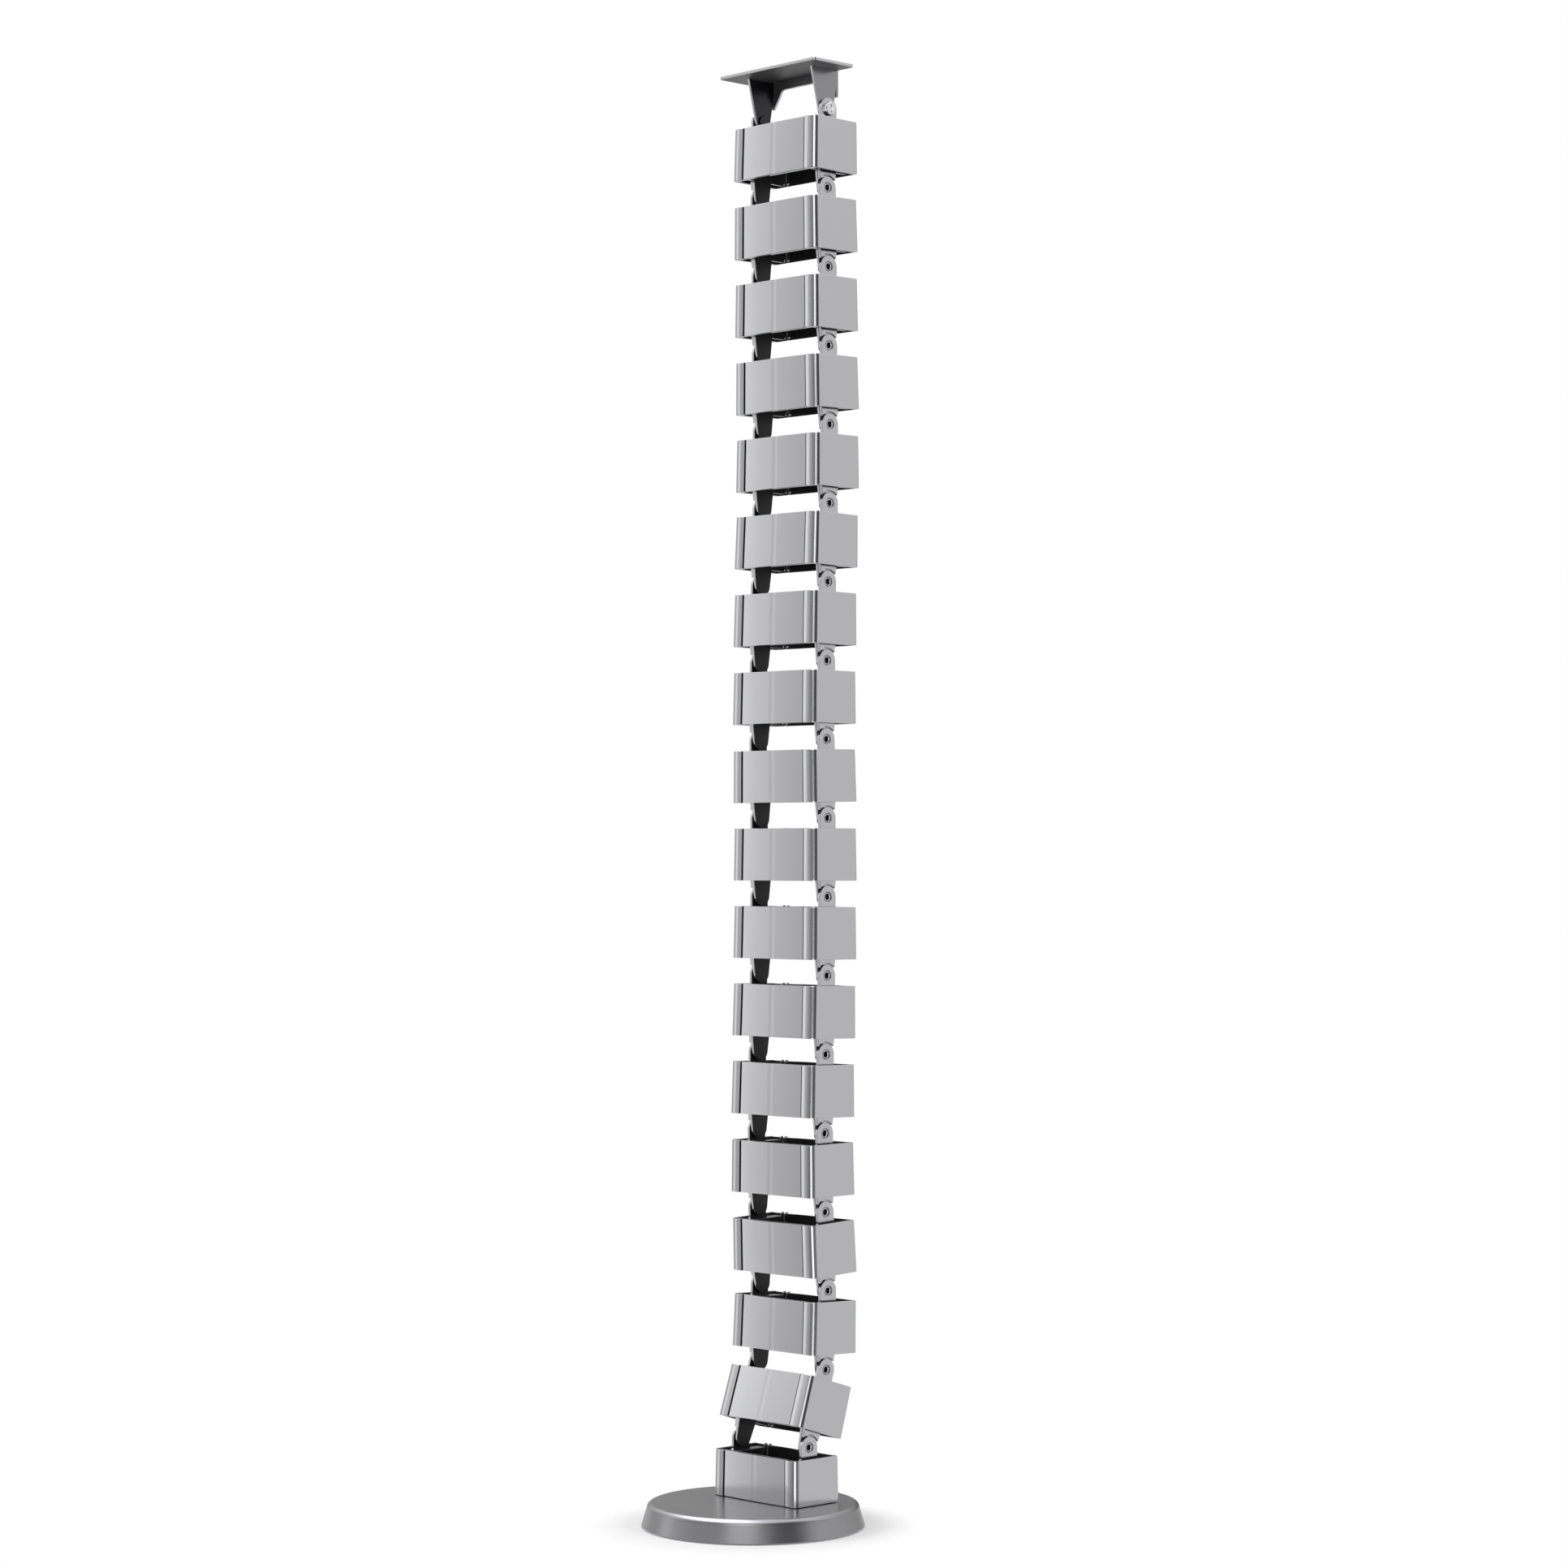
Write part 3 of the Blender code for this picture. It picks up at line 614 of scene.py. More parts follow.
@dataclass
class LinkCasting:
    """The cast frame of a link: ring, ledge, inner walls, ears, and tabs with studs where it has them."""

    name: str
    height: float
    tabbed: bool
    sizes: LinkSizes = LinkSizes()
    corner_steps: int = 8
    round_steps: int = 24

    @property
    def bottom(self) -> float:
        """The ring's lower rim."""
        return self.sizes.top_z - self.height

    def drafted(self, bm: bmesh.types.BMesh) -> bmesh.types.BMesh:
        """Spreads a solid downwards by the casting's draft.

        Args:
            bm: The solid.

        Returns:
            The same solid.
        """
        s = self.sizes
        for vert in bm.verts:
            lean = s.draft * (s.top_z - vert.co.z) / self.height
            vert.co.x *= 1 + lean / s.half
            vert.co.y += (vert.co.y - s.hinge_forward) * lean / (s.depth / 2)
        return bm

    def shell_half(self, side: int) -> bmesh.types.BMesh:
        """Makes one half of the outer shell, from the cover's groove round to the slit.

        Args:
            side: 1 for the right half, -1 for the left.

        Returns:
            The solid.
        """
        s = self.sizes
        outer, inner = s.rear_corner, s.inner_corner
        slit = side * s.slit_x + s.slit / 2
        points = self.post_front()
        points += arc((s.half - outer, s.rear_y - outer), outer, 0, 90, self.corner_steps)
        points += [(slit, s.rear_y), (slit, s.well_y)]
        points += arc((s.well_x - inner, s.well_y - inner), inner, 90, 0, 3)
        points += arc((s.well_x - inner, s.wall_y + inner), inner, 0, -90, 3)
        points += [(s.recess_half, s.wall_y)]
        bm = pushed([(side * x, y) for x, y in points], self.bottom, s.top_z, Plane.PLAN, s.soft)
        self.round_rear(bm)
        return self.drafted(bm)

    def post_front(self) -> list[Point]:
        """Lists the bowed front of a corner post, from the cover's groove round to the side wall.

        Returns:
            The points: a short, nearly flat part, a shallow bow and then the tight corner.
        """
        s = self.sizes
        crown = s.recess_half + s.post_flat
        points = [(s.recess_half, s.front_y + s.post_flat * math.tan(math.radians(s.post_lean)) / 2)]
        points += arc((crown, s.front_y + s.post_bow), s.post_bow, -90 - s.post_lean / 2, -90 + s.post_turn, 6)
        turn = math.radians(s.post_turn)
        x, y = points[-1]
        radius = (s.half - x) / (1 - math.sin(turn))
        middle = (s.half - radius, y + radius * math.cos(turn))
        return points + arc(middle, radius, -90 + s.post_turn, 0, self.corner_steps)[1:]

    def round_rear(self, bm: bmesh.types.BMesh) -> None:
        """Rounds the shell's rear wall over at its top and bottom, as seen from the side."""
        s = self.sizes
        radius = s.edge_corner
        center_y = s.rear_y - radius
        for step in range(1, 6):
            rise = radius * (1 - math.sin(math.radians(15 * step)))
            for z in (s.top_z - rise, self.bottom + rise):
                geom = list(bm.verts) + list(bm.edges) + list(bm.faces)
                bmesh.ops.bisect_plane(bm, geom=geom, plane_co=(0, 0, z), plane_no=(0, 0, 1))
        for vert in bm.verts:
            into = radius - min(s.top_z - vert.co.z, vert.co.z - self.bottom)
            if into > 0:
                reach = center_y + math.sqrt(max(radius ** 2 - into ** 2, s.edge_rest ** 2))
                vert.co.y = min(vert.co.y, reach)

    def inner_walls(self) -> list[bmesh.types.BMesh]:
        """Makes the front wall behind the cover, the ledge and the two inner side walls."""
        s = self.sizes
        front = block((-s.recess_half - s.lap, s.front_y + s.cover_seat, self.bottom),
                      (s.recess_half + s.lap, s.wall_y, s.ledge_z - s.lap / 5), s.soft)
        out_x, front_y, rear_y = s.well_x + s.lap, s.wall_y - s.lap, s.well_y + s.lap
        channel_y = s.wall_y + s.front_ledge
        plan = [(-out_x, front_y), (out_x, front_y), (out_x, rear_y), (s.ledge_x, rear_y), (s.ledge_x, channel_y),
                (-s.ledge_x, channel_y), (-s.ledge_x, rear_y), (-out_x, rear_y)]
        ledge = pushed(plan, s.ledge_z - s.ledge, s.ledge_z, Plane.PLAN, s.soft)
        walls = [self.drafted(front), ledge]
        middle = (s.tab_inner + s.tab_outer) / 2
        for side in (-1, 1):
            low, high = span(side, middle - s.cheek / 2, middle + s.cheek / 2)
            walls.append(block((low, front_y, self.bottom + s.cheek_raise),
                               (high, rear_y, s.ledge_z - s.ledge / 2), s.soft))
        return walls

    def beads(self) -> list[bmesh.types.BMesh]:
        """Makes the two round beads beside the slit, domed at the top."""
        s = self.sizes
        base = self.bottom + s.edge_corner
        dome = arc((0, s.top_z + s.bead_rise - s.bead), s.bead, 90, 0, 5)
        dome[0] = (0.0, dome[0][1])
        foot = arc((0, base), s.bead, 0, -90, 4)
        foot[-1] = (0.0, foot[-1][1])
        reach = s.slit / 2 + s.bead
        return [moved(turned(dome + foot, 16), (s.slit_x + side * reach, s.rear_y - s.bead, 0))
                for side in (-1, 1)]

    def ear(self, side: int) -> bmesh.types.BMesh:
        """Makes an outer ear with its stepped hole.

        Args:
            side: 1 for the right ear, -1 for the left.

        Returns:
            The solid.
        """
        s = self.sizes
        flare = s.ear_radius + s.ear_fillet
        root = s.ledge_z - s.ledge / 2
        right = [(flare, root)] + arc((flare, s.ledge_z + s.ear_fillet - s.ear_sink), s.ear_fillet, 270, 180, 5)
        left = [(-y, z) for y, z in reversed(right)]
        points = right + arc((0, 0), s.ear_radius, 0, 180, 18) + left
        body = pushed(points, *span(side, s.ear_inner, s.ear_outer), Plane.SIDE)
        low, step, high = s.ear_inner - PAST, s.ear_outer - s.mouth_depth, s.ear_outer + PAST
        profile = [(0, low), (s.hole, low), (s.hole, step), (s.hole_mouth, step), (s.hole_mouth, high), (0, high)]
        hole = turned(profile, self.round_steps, Vector((side, 0, 0)))
        cut = solid_of(fused("ear", body, [hole], "DIFFERENCE"))
        round_edges(cut, s.soft)
        return cut

    def tab(self, side: int) -> list[bmesh.types.BMesh]:
        """Makes a tab with its thick shoulder and its hollow stud.

        Args:
            side: 1 for the right tab, -1 for the left.

        Returns:
            The three solids.
        """
        s = self.sizes
        hinge = self.bottom - s.tab_drop
        low = self.bottom + s.cheek_raise
        root = low + s.tab_root_rise
        edge = taper_angle(s.tab_root, root - hinge, s.tab_tip)
        tip = arc((0, hinge), s.tab_tip, -180 + edge, -edge, 16)
        ends = span(side, s.tab_inner, s.tab_outer)
        leaf = pushed([(-s.tab_root, root)] + tip + [(s.tab_root, root)], *ends, Plane.SIDE, s.soft)
        middle = (s.tab_inner + s.tab_outer) / 2
        half, inner = s.tab_root - s.shoulder_step, s.tab_tip - s.shoulder_step
        hollow_r = s.ear_radius + s.shoulder_gap
        top = low + s.shoulder_root
        horn = math.degrees(math.acos(inner / hollow_r)) - taper_angle(half, top - hinge, inner)
        steps = 16
        hollow = [(y - s.shoulder_lean * math.sin(math.pi * step / steps), z) for step, (y, z)
                  in enumerate(arc((0, hinge), hollow_r, 180 - horn, horn, steps))]
        ends = span(side, middle, s.ear_outer)
        shoulder = pushed([(-half, top)] + hollow + [(half, top)], *ends, Plane.SIDE, s.soft)
        face, lip, floor = s.ear_outer - s.stud_sink, s.stud_lip, s.tab_outer + s.stud_floor
        profile = [(0, middle), (s.stud, middle), (s.stud, face - lip)]
        profile += arc((s.stud - lip, face - lip), lip, 0, 90, 3)[1:]
        profile += [(s.stud_bore + lip / 2, face), (s.stud_bore, face - lip / 2), (s.stud_bore, floor), (0, floor)]
        stud = moved(turned(profile, self.round_steps, Vector((side, 0, 0))), (0, 0, hinge))
        return [leaf, shoulder, stud]

    def lug(self, side: int) -> bmesh.types.BMesh:
        """Makes a screw lug inside the base link's foot.

        Args:
            side: 1 for the right lug, -1 for the left.

        Returns:
            The solid.
        """
        s = self.sizes
        top, reach = self.bottom + s.lug_thick, s.lug_depth / 2
        near, far = span(side, s.tab_inner - s.lug_reach, s.tab_inner + s.cheek / 2)
        body = block((near, s.hinge_forward - reach, self.bottom), (far, s.hinge_forward + reach, top))
        low, high = self.bottom - PAST, top + PAST
        hole = turned([(0, low), (s.lug_hole, low), (s.lug_hole, high), (0, high)], self.round_steps)
        moved(hole, (side * (s.tab_inner - s.lug_reach / 2), s.hinge_forward, 0))
        cut = solid_of(fused("lug", body, [hole], "DIFFERENCE"))
        round_edges(cut, s.soft)
        return cut

    def surface(self, center: Vector, normal: Vector) -> Surface:
        """Says which finish a face takes: the faces that look into the link take the dark inside finish, which in
        the hinge holes, stud bores and shoulder hollows is painted shade.

        Args:
            center: The face's middle.
            normal: Its outward direction.

        Returns:
            The surface's kind.
        """
        s = self.sizes
        near = 0.15 * MM
        inward_x = normal.x * center.x < 0 and abs(normal.x) > FACING
        if inward_x and abs(center.x) < s.well_x + near:
            return Surface.INSIDE
        # Hinge holes, stud bores and the front of each shoulder hollow get the dark finish as painted shade.
        if self.in_hinge(center, normal):
            return Surface.INSIDE
        if abs(center.x) > s.well_x or center.z > s.top_z - near:
            return Surface.OUTSIDE
        if normal.z > FACING and center.z > s.ledge_z - s.ledge:
            return Surface.PLAIN
        if normal.y < -FACING and s.well_y - near < center.y < s.rear_y:
            return Surface.INSIDE
        if normal.y > FACING and s.front_y + near < center.y < s.wall_y + near:
            return Surface.INSIDE
        if normal.z < -FACING and self.bottom + s.skin < center.z < s.ledge_z:
            return Surface.INSIDE
        return Surface.OUTSIDE

    def in_hinge(self, center: Vector, normal: Vector) -> bool:
        """Says whether a face lines a hinge's hole, a stud's bore or the hollow under a shoulder, where the dark
        finish is painted shade.
        """
        s = self.sizes
        lower_hinge = self.bottom - s.tab_drop
        if abs(normal.x) > 0.6 or abs(center.x) < s.tab_inner:
            bore_floor = math.hypot(center.y, center.z - lower_hinge) < s.stud_bore * 0.8
            return abs(center.x) > s.tab_outer and bore_floor
        reach = s.ear_radius + s.shoulder_gap * 1.6
        for height in (0.0, lower_hinge):
            out = Vector((0, center.y, center.z - height))
            if out.length < reach and out.dot(normal) < -0.5 * out.length:
                mouth = out.length < s.stud * 1.5 and abs(center.x) > s.ear_outer - s.mouth_depth
                behind = out.length > s.ear_radius and center.y > -0.5 * MM
                return not mouth and not behind
        return False

    def mesh(self) -> bpy.types.Mesh:
        """Builds the whole casting as one skin with its surfaces marked."""
        solids = [self.shell_half(-1)] + self.inner_walls() + self.beads()
        for side in (-1, 1):
            solids.append(self.ear(side))
            solids += self.tab(side) if self.tabbed else [self.lug(side)]
        mesh = fused(self.name, self.shell_half(1), solids)
        for face in mesh.polygons:
            face.material_index = self.surface(face.center, face.normal).value
        return mesh


@dataclass
class CoverPanel:
    """The creased front cover of a link with the lip that hooks over the front wall."""

    height: float
    casting: LinkCasting

    def mesh(self) -> bpy.types.Mesh:
        """Builds the cover as one skin."""
        s = self.casting.sizes
        bottom = s.top_z - self.height
        back = s.front_y + s.cover_thick
        edge = s.front_y + s.cover_crease
        near, far = s.groove_half, s.groove_half + s.groove_ease
        knee = (s.cover_half * s.knee_at, s.front_y + s.cover_crease * s.knee_drop)
        rim = s.front_y + s.cover_crease * s.knee_drop * far / knee[0]
        wall = rim + s.groove_ease * math.tan(math.radians(s.groove_slope / 2))
        valley = wall + near * math.tan(math.radians(s.groove_slope))
        right = [(0, valley), (near, wall), (far, rim), knee, (s.cover_half, edge), (s.cover_half, back)]
        plan = right + [(-x, y) for x, y in reversed(right[1:])]
        panel = pushed(plan, bottom, s.top_z, Plane.PLAN, s.cover_soft)
        lip = block((-s.cover_half, s.front_y + s.cover_crease + s.soft, s.top_z - s.cover_thick),
                    (s.cover_half, s.wall_y, s.top_z - s.lip_sink), s.soft)
        mesh = fused("cover", self.casting.drafted(panel), [self.casting.drafted(lip)])
        for face in mesh.polygons:
            if face.normal.z > STRAIGHT and face.center.y > s.front_y + s.cover_crease:
                face.material_index = Surface.PLAIN.value
            elif face.normal.y > FACING:
                face.material_index = Surface.INSIDE.value
        return mesh


@dataclass
class SpineLinks:
    """The hinged links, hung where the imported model's hinges are."""

    workshop: Workshop
    joints: Sequence[dict]
    link_height: float = 25.6 * MM
    base_height: float = 22.4 * MM

    def placing(self, number: int) -> Matrix:
        """Finds where a link's upper hinge is and how far the link leans.

        Args:
            number: The link's number, from 1 at the top.

        Returns:
            The link's place in the world.
        """
        here = Vector(self.joints[number - 1]["pos_m"])
        turn = 0.0
        if number < len(self.joints):
            down = Vector(self.joints[number]["pos_m"]) - here
            turn = math.atan2(down.y, -down.z)
        return Matrix.Translation(here) @ Matrix.Rotation(turn, 4, "X")

    def build(self) -> None:
        """Hangs every link and its cover."""
        free = LinkCasting("link_casting", self.link_height, True)
        base = LinkCasting("base_casting", self.base_height, False)
        count = len(self.joints)
        free_mesh, free_cover = free.mesh(), CoverPanel(self.link_height, free).mesh()
        base_mesh, base_cover = base.mesh(), CoverPanel(self.base_height, base).mesh()
        for number in range(1, count + 1):
            last = number == count
            body = self.joints[number - 1]["child"]
            stem = "base_link" if last else f"link_{number:02d}"
            place = self.placing(number)
            self.workshop.piece(f"{stem}_casting", base_mesh if last else free_mesh, body, f"{stem}_frame", "silver",
                                ("satin_silver", "cast_dark_and_shade", "cast_grey"), place)
            self.workshop.piece(f"{stem}_panel", base_cover if last else free_cover, body, f"{stem}_cover",
                                "cover_silver", ("panel_silver", "cast_dark_and_shade", "cast_grey"), place)


@dataclass
class DeskBracket:
    """The folded bracket under the desk and the two rivets of the top hinge."""

    workshop: Workshop
    hinge: Vector
    body: str
    plate_width: float = 67.5 * MM
    plate_depth: float = 27.0 * MM
    sheet: float = 1.5 * MM
    plate_rear: float = 7.3 * MM
    plate_corner: float = 1.5 * MM
    drop: float = 20.0 * MM
    ear_front: float = 10.7 * MM
    tip: float = 4.7 * MM
    flange: float = 4.1 * MM
    flange_leg: float = 5.4 * MM
    leg_drop: float = 9.1 * MM
    arch_corner: float = 2.5 * MM
    soft: float = 0.25 * MM
    rivet_head: float = 3.5 * MM
    rivet_rise: float = 1.6 * MM
    rivet_soft: float = 0.72 * MM
    rivet_gap: float = 0.1 * MM
    rivet_tail: float = 3.0 * MM
    rivet_tail_rise: float = 0.9 * MM
    cross_width: float = 1.0 * MM
    cross_length: float = 4.2 * MM
    cross_depth: float = 0.9 * MM

    def plate(self) -> bmesh.types.BMesh:
        """Makes the plate with its rounded corners."""
        s = LinkSizes()
        rear = self.plate_rear + s.hinge_forward
        front = rear - self.plate_depth
        half, r = self.plate_width / 2, self.plate_corner
        corners = ((half - r, front + r, -90), (half - r, rear - r, 0), (r - half, rear - r, 90),
                   (r - half, front + r, 180))
        plan = [p for x, y, start in corners for p in arc((x, y), r, start, start + 90, 5)]
        return pushed(plan, self.drop, self.drop + self.sheet, Plane.PLAN, self.soft)

    def ear(self, side: int) -> bmesh.types.BMesh:
        """Makes a tapered bracket ear.

        Args:
            side: 1 for the right ear, -1 for the left.

        Returns:
            The solid.
        """
        s = LinkSizes()
        seat = self.drop + self.sheet / 2
        rear = self.plate_rear + s.hinge_forward
        front = s.hinge_forward - self.ear_front
        before = taper_angle(-front, self.drop, self.tip)
        behind = taper_angle(rear, self.drop, self.tip)
        tip = arc((0, 0), self.tip, before - 180, -behind, 16)
        points = [(front, seat), (front, self.drop)] + tip + [(rear, self.drop), (rear, seat)]
        return pushed(points, *span(side, s.tab_inner, s.tab_outer), Plane.SIDE, self.soft)

    def rear_flange(self) -> bmesh.types.BMesh:
        """Makes the arched flange behind, whose legs run down the ears."""
        s = LinkSizes()
        seat = self.drop + self.sheet / 2
        under = self.drop - self.flange
        spring = s.tab_inner - self.flange_leg
        leg_end = under - self.leg_drop
        inset = 0.02 * MM
        right = [(s.tab_outer - inset, seat), (s.tab_outer - inset, leg_end), (s.tab_inner + inset, leg_end)]
        bend = ((1 / 3, -1.0), (0.05, -0.45), (-0.35, -0.12), (-1.0, 0.0))
        right += [(spring + across * self.arch_corner, under + up * self.arch_corner) for across, up in bend]
        rear = self.plate_rear + s.hinge_forward
        points = right + [(-x, z) for x, z in reversed(right)]
        return pushed(points, -rear + inset, -rear + self.sheet, Plane.REAR, self.soft)

    def surface(self, center: Vector, normal: Vector) -> Surface:
        """Says which finish a face takes: the bracket's hollow side takes darker copies of its finish as painted
        shade, and its cut edges the brighter satin silver as painted highlight.
        """
        inner = LinkSizes().tab_inner
        near = 0.1 * MM
        if center.z > self.drop and abs(normal.z) < STRAIGHT:
            return Surface.PLAIN
        if center.z < self.drop and abs(normal.x) < STRAIGHT and abs(normal.y) < STRAIGHT:
            return Surface.PLAIN
        if center.z < self.drop and center.y < 0 and abs(normal.x) < 0.5:
            return Surface.PLAIN
        if abs(center.x) < inner + near and normal.x * center.x < 0 and abs(normal.x) > 0.9:
            return Surface.INSIDE
        if normal.z < -STRAIGHT and abs(center.z - self.drop) < near and abs(center.x) < self.plate_width / 2 - near:
            return Surface.UNDER_SHADE
        if normal.y < -STRAIGHT and center.y > 0 and center.z < self.drop:
            return Surface.UNDER_SHADE
        return Surface.OUTSIDE

    def rivet(self) -> bpy.types.Mesh:
        """Builds a rivet along +X: a soft cross-recessed head outside and a flat tail inside."""
        s = LinkSizes()
        head_in = s.ear_outer + self.rivet_gap
        head_out = head_in + self.rivet_rise
        tail_out = s.tab_inner - self.rivet_gap
        tail_in = tail_out - self.rivet_tail_rise
        soft = self.rivet_soft
        profile = [(0.0, tail_in), (self.rivet_tail - soft / 3, tail_in), (self.rivet_tail, tail_in + soft / 3),
                   (self.rivet_tail, tail_out), (s.stud, tail_out), (s.stud, head_in), (self.rivet_head, head_in)]
        profile += arc((self.rivet_head - soft, head_out - soft), soft, 0, 90, 4)
        profile += [(0.0, head_out)]
        body = turned(profile, 32, Vector((1, 0, 0)))
        thin, half, deep = self.cross_width / 2, self.cross_length / 2, head_out - self.cross_depth
        slots = [block((deep, -y, -z), (head_out + PAST, y, z)) for y, z in ((half, thin), (thin, half))]
        mesh = fused("rivet", body, slots, "DIFFERENCE")
        # The tail, inside the ear, takes the dark bracket_shade finish as painted shade.
        for face in mesh.polygons:
            if face.center.x < s.tab_inner:
                face.material_index = Surface.INSIDE.value
        return mesh

    def build(self) -> None:
        """Places the bracket and its rivets."""
        place = Matrix.Translation(self.hinge)
        mesh = fused("bracket", self.plate(), [self.rear_flange(), self.ear(-1), self.ear(1)])
        for face in mesh.polygons:
            face.material_index = self.surface(face.center, face.normal).value
        self.workshop.piece("folded_bracket", mesh, self.body, "top_bracket", "silver",
                            ("bracket_shaded_silver", "bracket_shade", "satin_silver", "bracket_under_shade"), place)
        rivet = self.rivet()
        for label, turn in (("right", 0.0), ("left", math.pi)):
            self.workshop.piece(f"hinge_rivet_{label}", rivet, self.body, f"top_rivet_{label}", "rivet_steel",
                                ("bright_zinc", "bracket_shade"), place @ Matrix.Rotation(turn, 4, "Z"))


@dataclass
class RoundFoot:
    """The weighted foot: turned cover, weight, pad and the two screws that hold the base link."""

    workshop: Workshop
    middle: Vector
    screw_tip: Vector
    body: str
    radius: float = 54.4 * MM
    top_radius: float = 51.2 * MM
    height: float = 11.6 * MM
    shoulder: float = 2.6 * MM
    wall: float = 2.0 * MM
    setback: float = 15.2 * MM
    rim: float = 0.35 * MM
    floor_gap: float = 0.5 * MM
    seat_gap: float = 0.3 * MM
    weight: float = 7.4 * MM
    weight_soft: float = 0.5 * MM
    pad: float = 1.6 * MM
    pad_soft: float = 0.3 * MM
    pad_inset: float = 2.2 * MM
    screw: float = 1.6 * MM
    screw_gap: float = 0.25 * MM
    screw_head: float = 3.0 * MM
    screw_rise: float = 1.8 * MM
    screw_soft: float = 0.9 * MM
    screw_length: float = 9.0 * MM
    screw_point: float = 0.4 * MM
    socket: float = 1.3 * MM
    socket_depth: float = 1.1 * MM
    screw_x: float = 16.75 * MM

    def screw_holes(self, low: float, high: float) -> list[bmesh.types.BMesh]:
        """Makes the two upright bars that cut the screw holes.

        Args:
            low: Their lower ends.
            high: Their upper ends.

        Returns:
            The two solids.
        """
        r = self.screw + self.screw_gap
        profile = [(0, low), (r, low), (r, high), (0, high)]
        return [moved(turned(profile, 20), (side * self.screw_x, self.setback, 0)) for side in (-1, 1)]

    def cover(self) -> bpy.types.Mesh:
        """Builds the turned cover, with a soft shoulder and a small lip where it nears the floor."""
        slope = (self.radius - self.top_radius) / self.height
        level = self.height - self.shoulder
        edge = self.top_radius + slope * self.shoulder
        roof = self.height - self.wall
        profile = [(0.0, roof), (edge - self.wall, roof), (self.radius - self.wall, self.floor_gap)]
        profile += [(self.radius - self.rim, self.floor_gap), (self.radius, self.floor_gap + self.rim)]
        profile += arc((edge - self.shoulder, level), self.shoulder, 0, 90, 9)
        profile += [(0.0, self.height)]
        bars = self.screw_holes(roof - PAST, self.height + PAST)
        return fused("foot_cover", turned(profile, 128), bars, "DIFFERENCE")

    def steel_weight(self) -> bpy.types.Mesh:
        """Builds the hidden weight with its two holes."""
        top = self.height - self.wall - self.seat_gap
        low = top - self.weight
        r, soft = self.top_radius - self.wall - self.seat_gap, self.weight_soft
        profile = [(0, low), (r - soft, low), (r, low + soft), (r, top - soft), (r - soft, top), (0, top)]
        return fused("weight", turned(profile, 64), self.screw_holes(low - PAST, top + PAST), "DIFFERENCE")

    def floor_pad(self) -> bpy.types.Mesh:
        """Builds the pad with softened rims."""
        r, soft = self.radius - self.wall - self.pad_inset, self.pad_soft
        profile = [(0, 0), (r - soft, 0), (r, soft), (r, self.pad - soft), (r - soft, self.pad), (0, self.pad)]
        mesh = bpy.data.meshes.new("pad")
        bm = turned(profile, 64)
        bm.to_mesh(mesh)
        bm.free()
        return mesh

    def screw_mesh(self) -> bpy.types.Mesh:
        """Builds a screw with a domed head and a hexagon socket."""
        soft = self.screw_soft
        r, tip, point = self.screw, -self.screw_length, self.screw_point
        profile = [(0, tip), (r - point, tip), (r, tip + point), (r, 0), (self.screw_head, 0)]
        profile += arc((self.screw_head - soft, self.screw_rise - soft), soft, 0, 90, 4)
        profile += [(0, self.screw_rise)]
        low, high = self.screw_rise - self.socket_depth, self.screw_rise + PAST
        socket = turned([(0, low), (self.socket, low), (self.socket, high), (0, high)], 6)
        return fused("screw", turned(profile, 28), [socket], "DIFFERENCE")

    def build(self) -> None:
        """Places the foot's pieces."""
        place = Matrix.Translation(self.middle)
        put = self.workshop.piece
        put("foot_shell", self.cover(), self.body, "foot_cover", "foot_paint", ("foot_grey",), place)
        put("foot_ballast", self.steel_weight(), self.body, "foot_weight", "weight_steel", ("mill_steel",), place)
        put("foot_sole", self.floor_pad(), self.body, "foot_pad", "pad_rubber", ("pad_black",), place)
        screw = self.screw_mesh()
        for label, side in (("left", -1), ("right", 1)):
            spot = Vector((side * self.screw_x, self.screw_tip.y, self.screw_tip.z + self.screw_length))
            put(f"foot_screw_{label}", screw, self.body, f"base_screw_{label}", "rivet_steel", ("bright_zinc",),
                Matrix.Translation(spot))


# The studio


# Each ring lists degrees, counted from where the front faces mirror, and the brightness there
EYE_WALLS = (
    (-150, 0.85), (-126, 0.55), (-112, 0.26), (-96, 0.12), (-90, 0.17), (-82, 0.40), (-68, 0.50), (-60, 0.85),
    (-50, 0.72), (-28, 0.68), (-20, 0.95), (-14, 1.45), (-8, 1.45), (-5, 1.20), (-3, 1.02), (0, 0.92), (3, 0.81),
    (8, 0.74), (14, 0.66), (20, 0.54), (30, 0.40), (45, 0.34), (60, 0.32), (88, 0.30), (110, 0.20), (126, 0.08),
    (146, 0.06), (156, 0.50), (164, 0.90), (175, 0.92), (195, 0.90),
)
LOW_WALLS = (
    (-150, 0.85), (-120, 0.70), (-70, 0.65), (-60, 0.80), (-50, 0.64), (-28, 0.60), (-20, 0.85), (-14, 1.40),
    (-8, 1.35), (-5, 1.05), (-3, 0.90), (0, 0.79), (3, 0.70), (8, 0.66), (14, 0.60), (20, 0.48), (30, 0.34),
    (45, 0.26), (60, 0.24), (88, 0.28), (110, 0.34), (146, 0.30), (156, 0.55), (164, 0.90), (175, 0.92), (195, 0.90),
)
HIGH_WALLS = (
    (-150, 0.95), (-120, 1.00), (-60, 1.30), (0, 1.40), (30, 1.35), (60, 0.80), (80, 0.60), (95, 1.05), (106, 0.95),
    (118, 0.22), (142, 0.20), (158, 1.60), (195, 1.45),
)
SOFT_BOXES = ((-150, 0.0), (62, 0.0), (68, 1.0), (94, 1.0), (100, 0.0), (195, 0.0))
ROOF_LIGHT = ((-150, 0.35), (-100, 0.35), (-80, 1.0), (80, 1.0), (108, 0.35), (195, 0.35))
